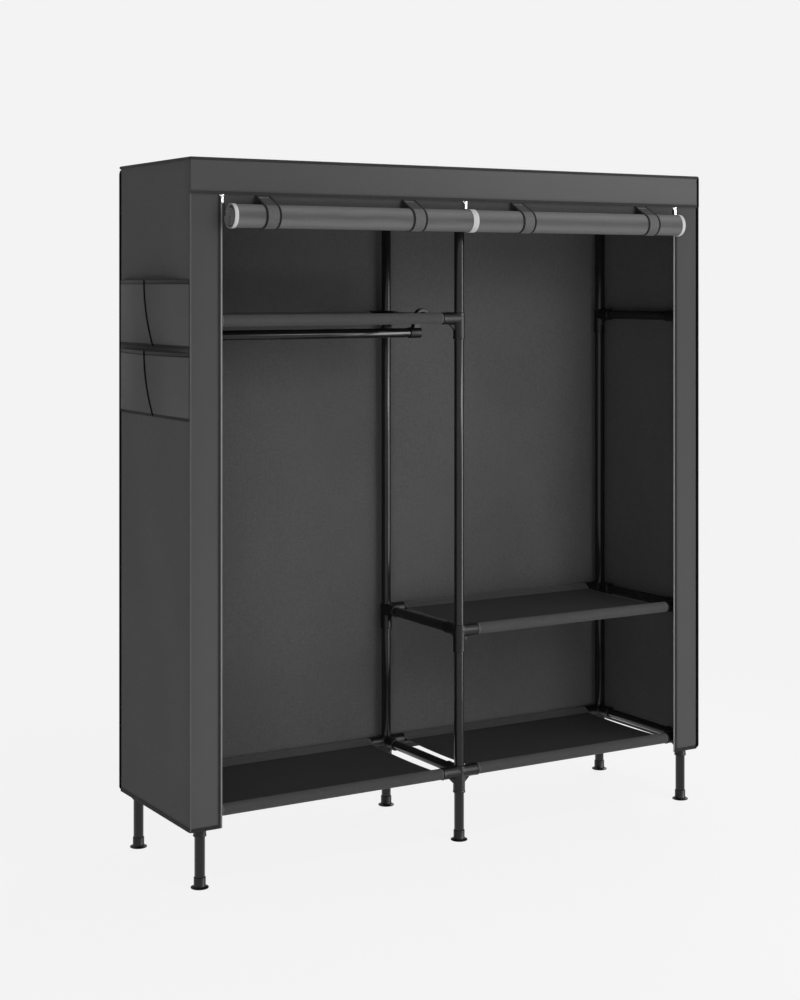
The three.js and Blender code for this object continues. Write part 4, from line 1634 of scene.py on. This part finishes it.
def floor_finish(shadow_share, near, far):
    """A pale floor that shows some of the shadow on it, up to a distance from the wardrobe."""
    material, tree, shader = new_finish("pale floor", background_grey, 0.9, 0.0)
    away = tree.nodes.new("ShaderNodeVectorMath")
    away.operation = "LENGTH"
    feed(tree, away.inputs[0], add_node(tree, "TexCoord").outputs["Object"])
    away = away.outputs["Value"]
    full = (1 - shadow_share * lit_floor / linear(background_grey)) / (1 - shadow_share)
    own = math_node(tree, "MULTIPLY", seen_node(tree),
                    ease_node(tree, away, near, far, 1 - shadow_share))
    glow = add_node(tree, "Emission", Color=grey_colour(background_grey),
                    Strength=ease_node(tree, away, near, far, full))
    mix_surfaces(tree, own, shader, glow, "Material Output")
    return material


clear()
bpy.ops.mesh.primitive_plane_add(size=60, location=(middle_x, middle_y, -floor_depth))
floor = bpy.context.object
settle(floor)
floor.name = "pale_floor"
floor.data.materials.append(floor_finish(shadow_seen, shadow_near, shadow_far))

# %% Surroundings and lamps
room_strength = 0.19
scene = bpy.context.scene
scene.view_settings.view_transform = "Standard"
world = bpy.data.worlds.new("studio")
scene.world = world
world.use_nodes = True
surroundings = world.node_tree.nodes["Background"]
surroundings.inputs["Color"].default_value = grey_colour(255)
surroundings.inputs["Strength"].default_value = room_strength
seen_colour = add_node(world.node_tree, "Background", Color=grey_colour(background_grey))
mix_surfaces(world.node_tree, seen_node(world.node_tree), surroundings, seen_colour,
             "World Output")


def soft_lamp(name, place, target, size, power):
    """A large soft lamp, of a width and a height, that points at a target."""
    data = bpy.data.lights.new(name, "AREA")
    data.shape = "ELLIPSE"
    data.size, data.size_y = size
    data.energy = power
    lamp = bpy.data.objects.new(name, data)
    scene.collection.objects.link(lamp)
    lamp.location = place
    lamp.rotation_euler = (Vector(target) - Vector(place)).to_track_quat("-Z", "Y").to_euler()
    return lamp


front_lamps = [
    soft_lamp("front lamp", (0.9, -4.3, 2.8), (0, 0, 1.1), (2.8, 1.8), 60),
    soft_lamp("low lamp", (0.8, -4.2, 0.4), (0, 0, 0.6), (3.0, 0.7), 29),
    soft_lamp("side lamp", (-3.0, -3.8, 0.8), (-0.8, 0, 0.8), (2.4, 1.6), 34),
    soft_lamp("top lamp", (0.9, -1.3, 3.3), (0.3, -0.25, 1.75), (1.4, 1.0), 8),
]
for lamp in front_lamps:
    lamp.visible_glossy = False
soft_lamp("rear lamp", (3.4, 2.6, 2.0), (0, 0.25, 1.0), (1.6, 1.6), 62)
gleam_lamps = [
    soft_lamp("upright gleam", (3.3, -3.1, 0.9), (0, 0, 0.9), (1.2, 5.0), 160),
    soft_lamp("rail gleam", (1.9, -4.3, 1.5), (-0.3, 0, 1.43), (2.2, 0.5), 36),
]
for lamp in gleam_lamps:
    lamp.visible_diffuse = False
floor.visible_glossy = False
print("lamps:", len(bpy.data.lights))

# %% [markdown]
# ## Last update
# The view layer is brought up to date.

# %% Update the view layer
bpy.context.view_layer.update()
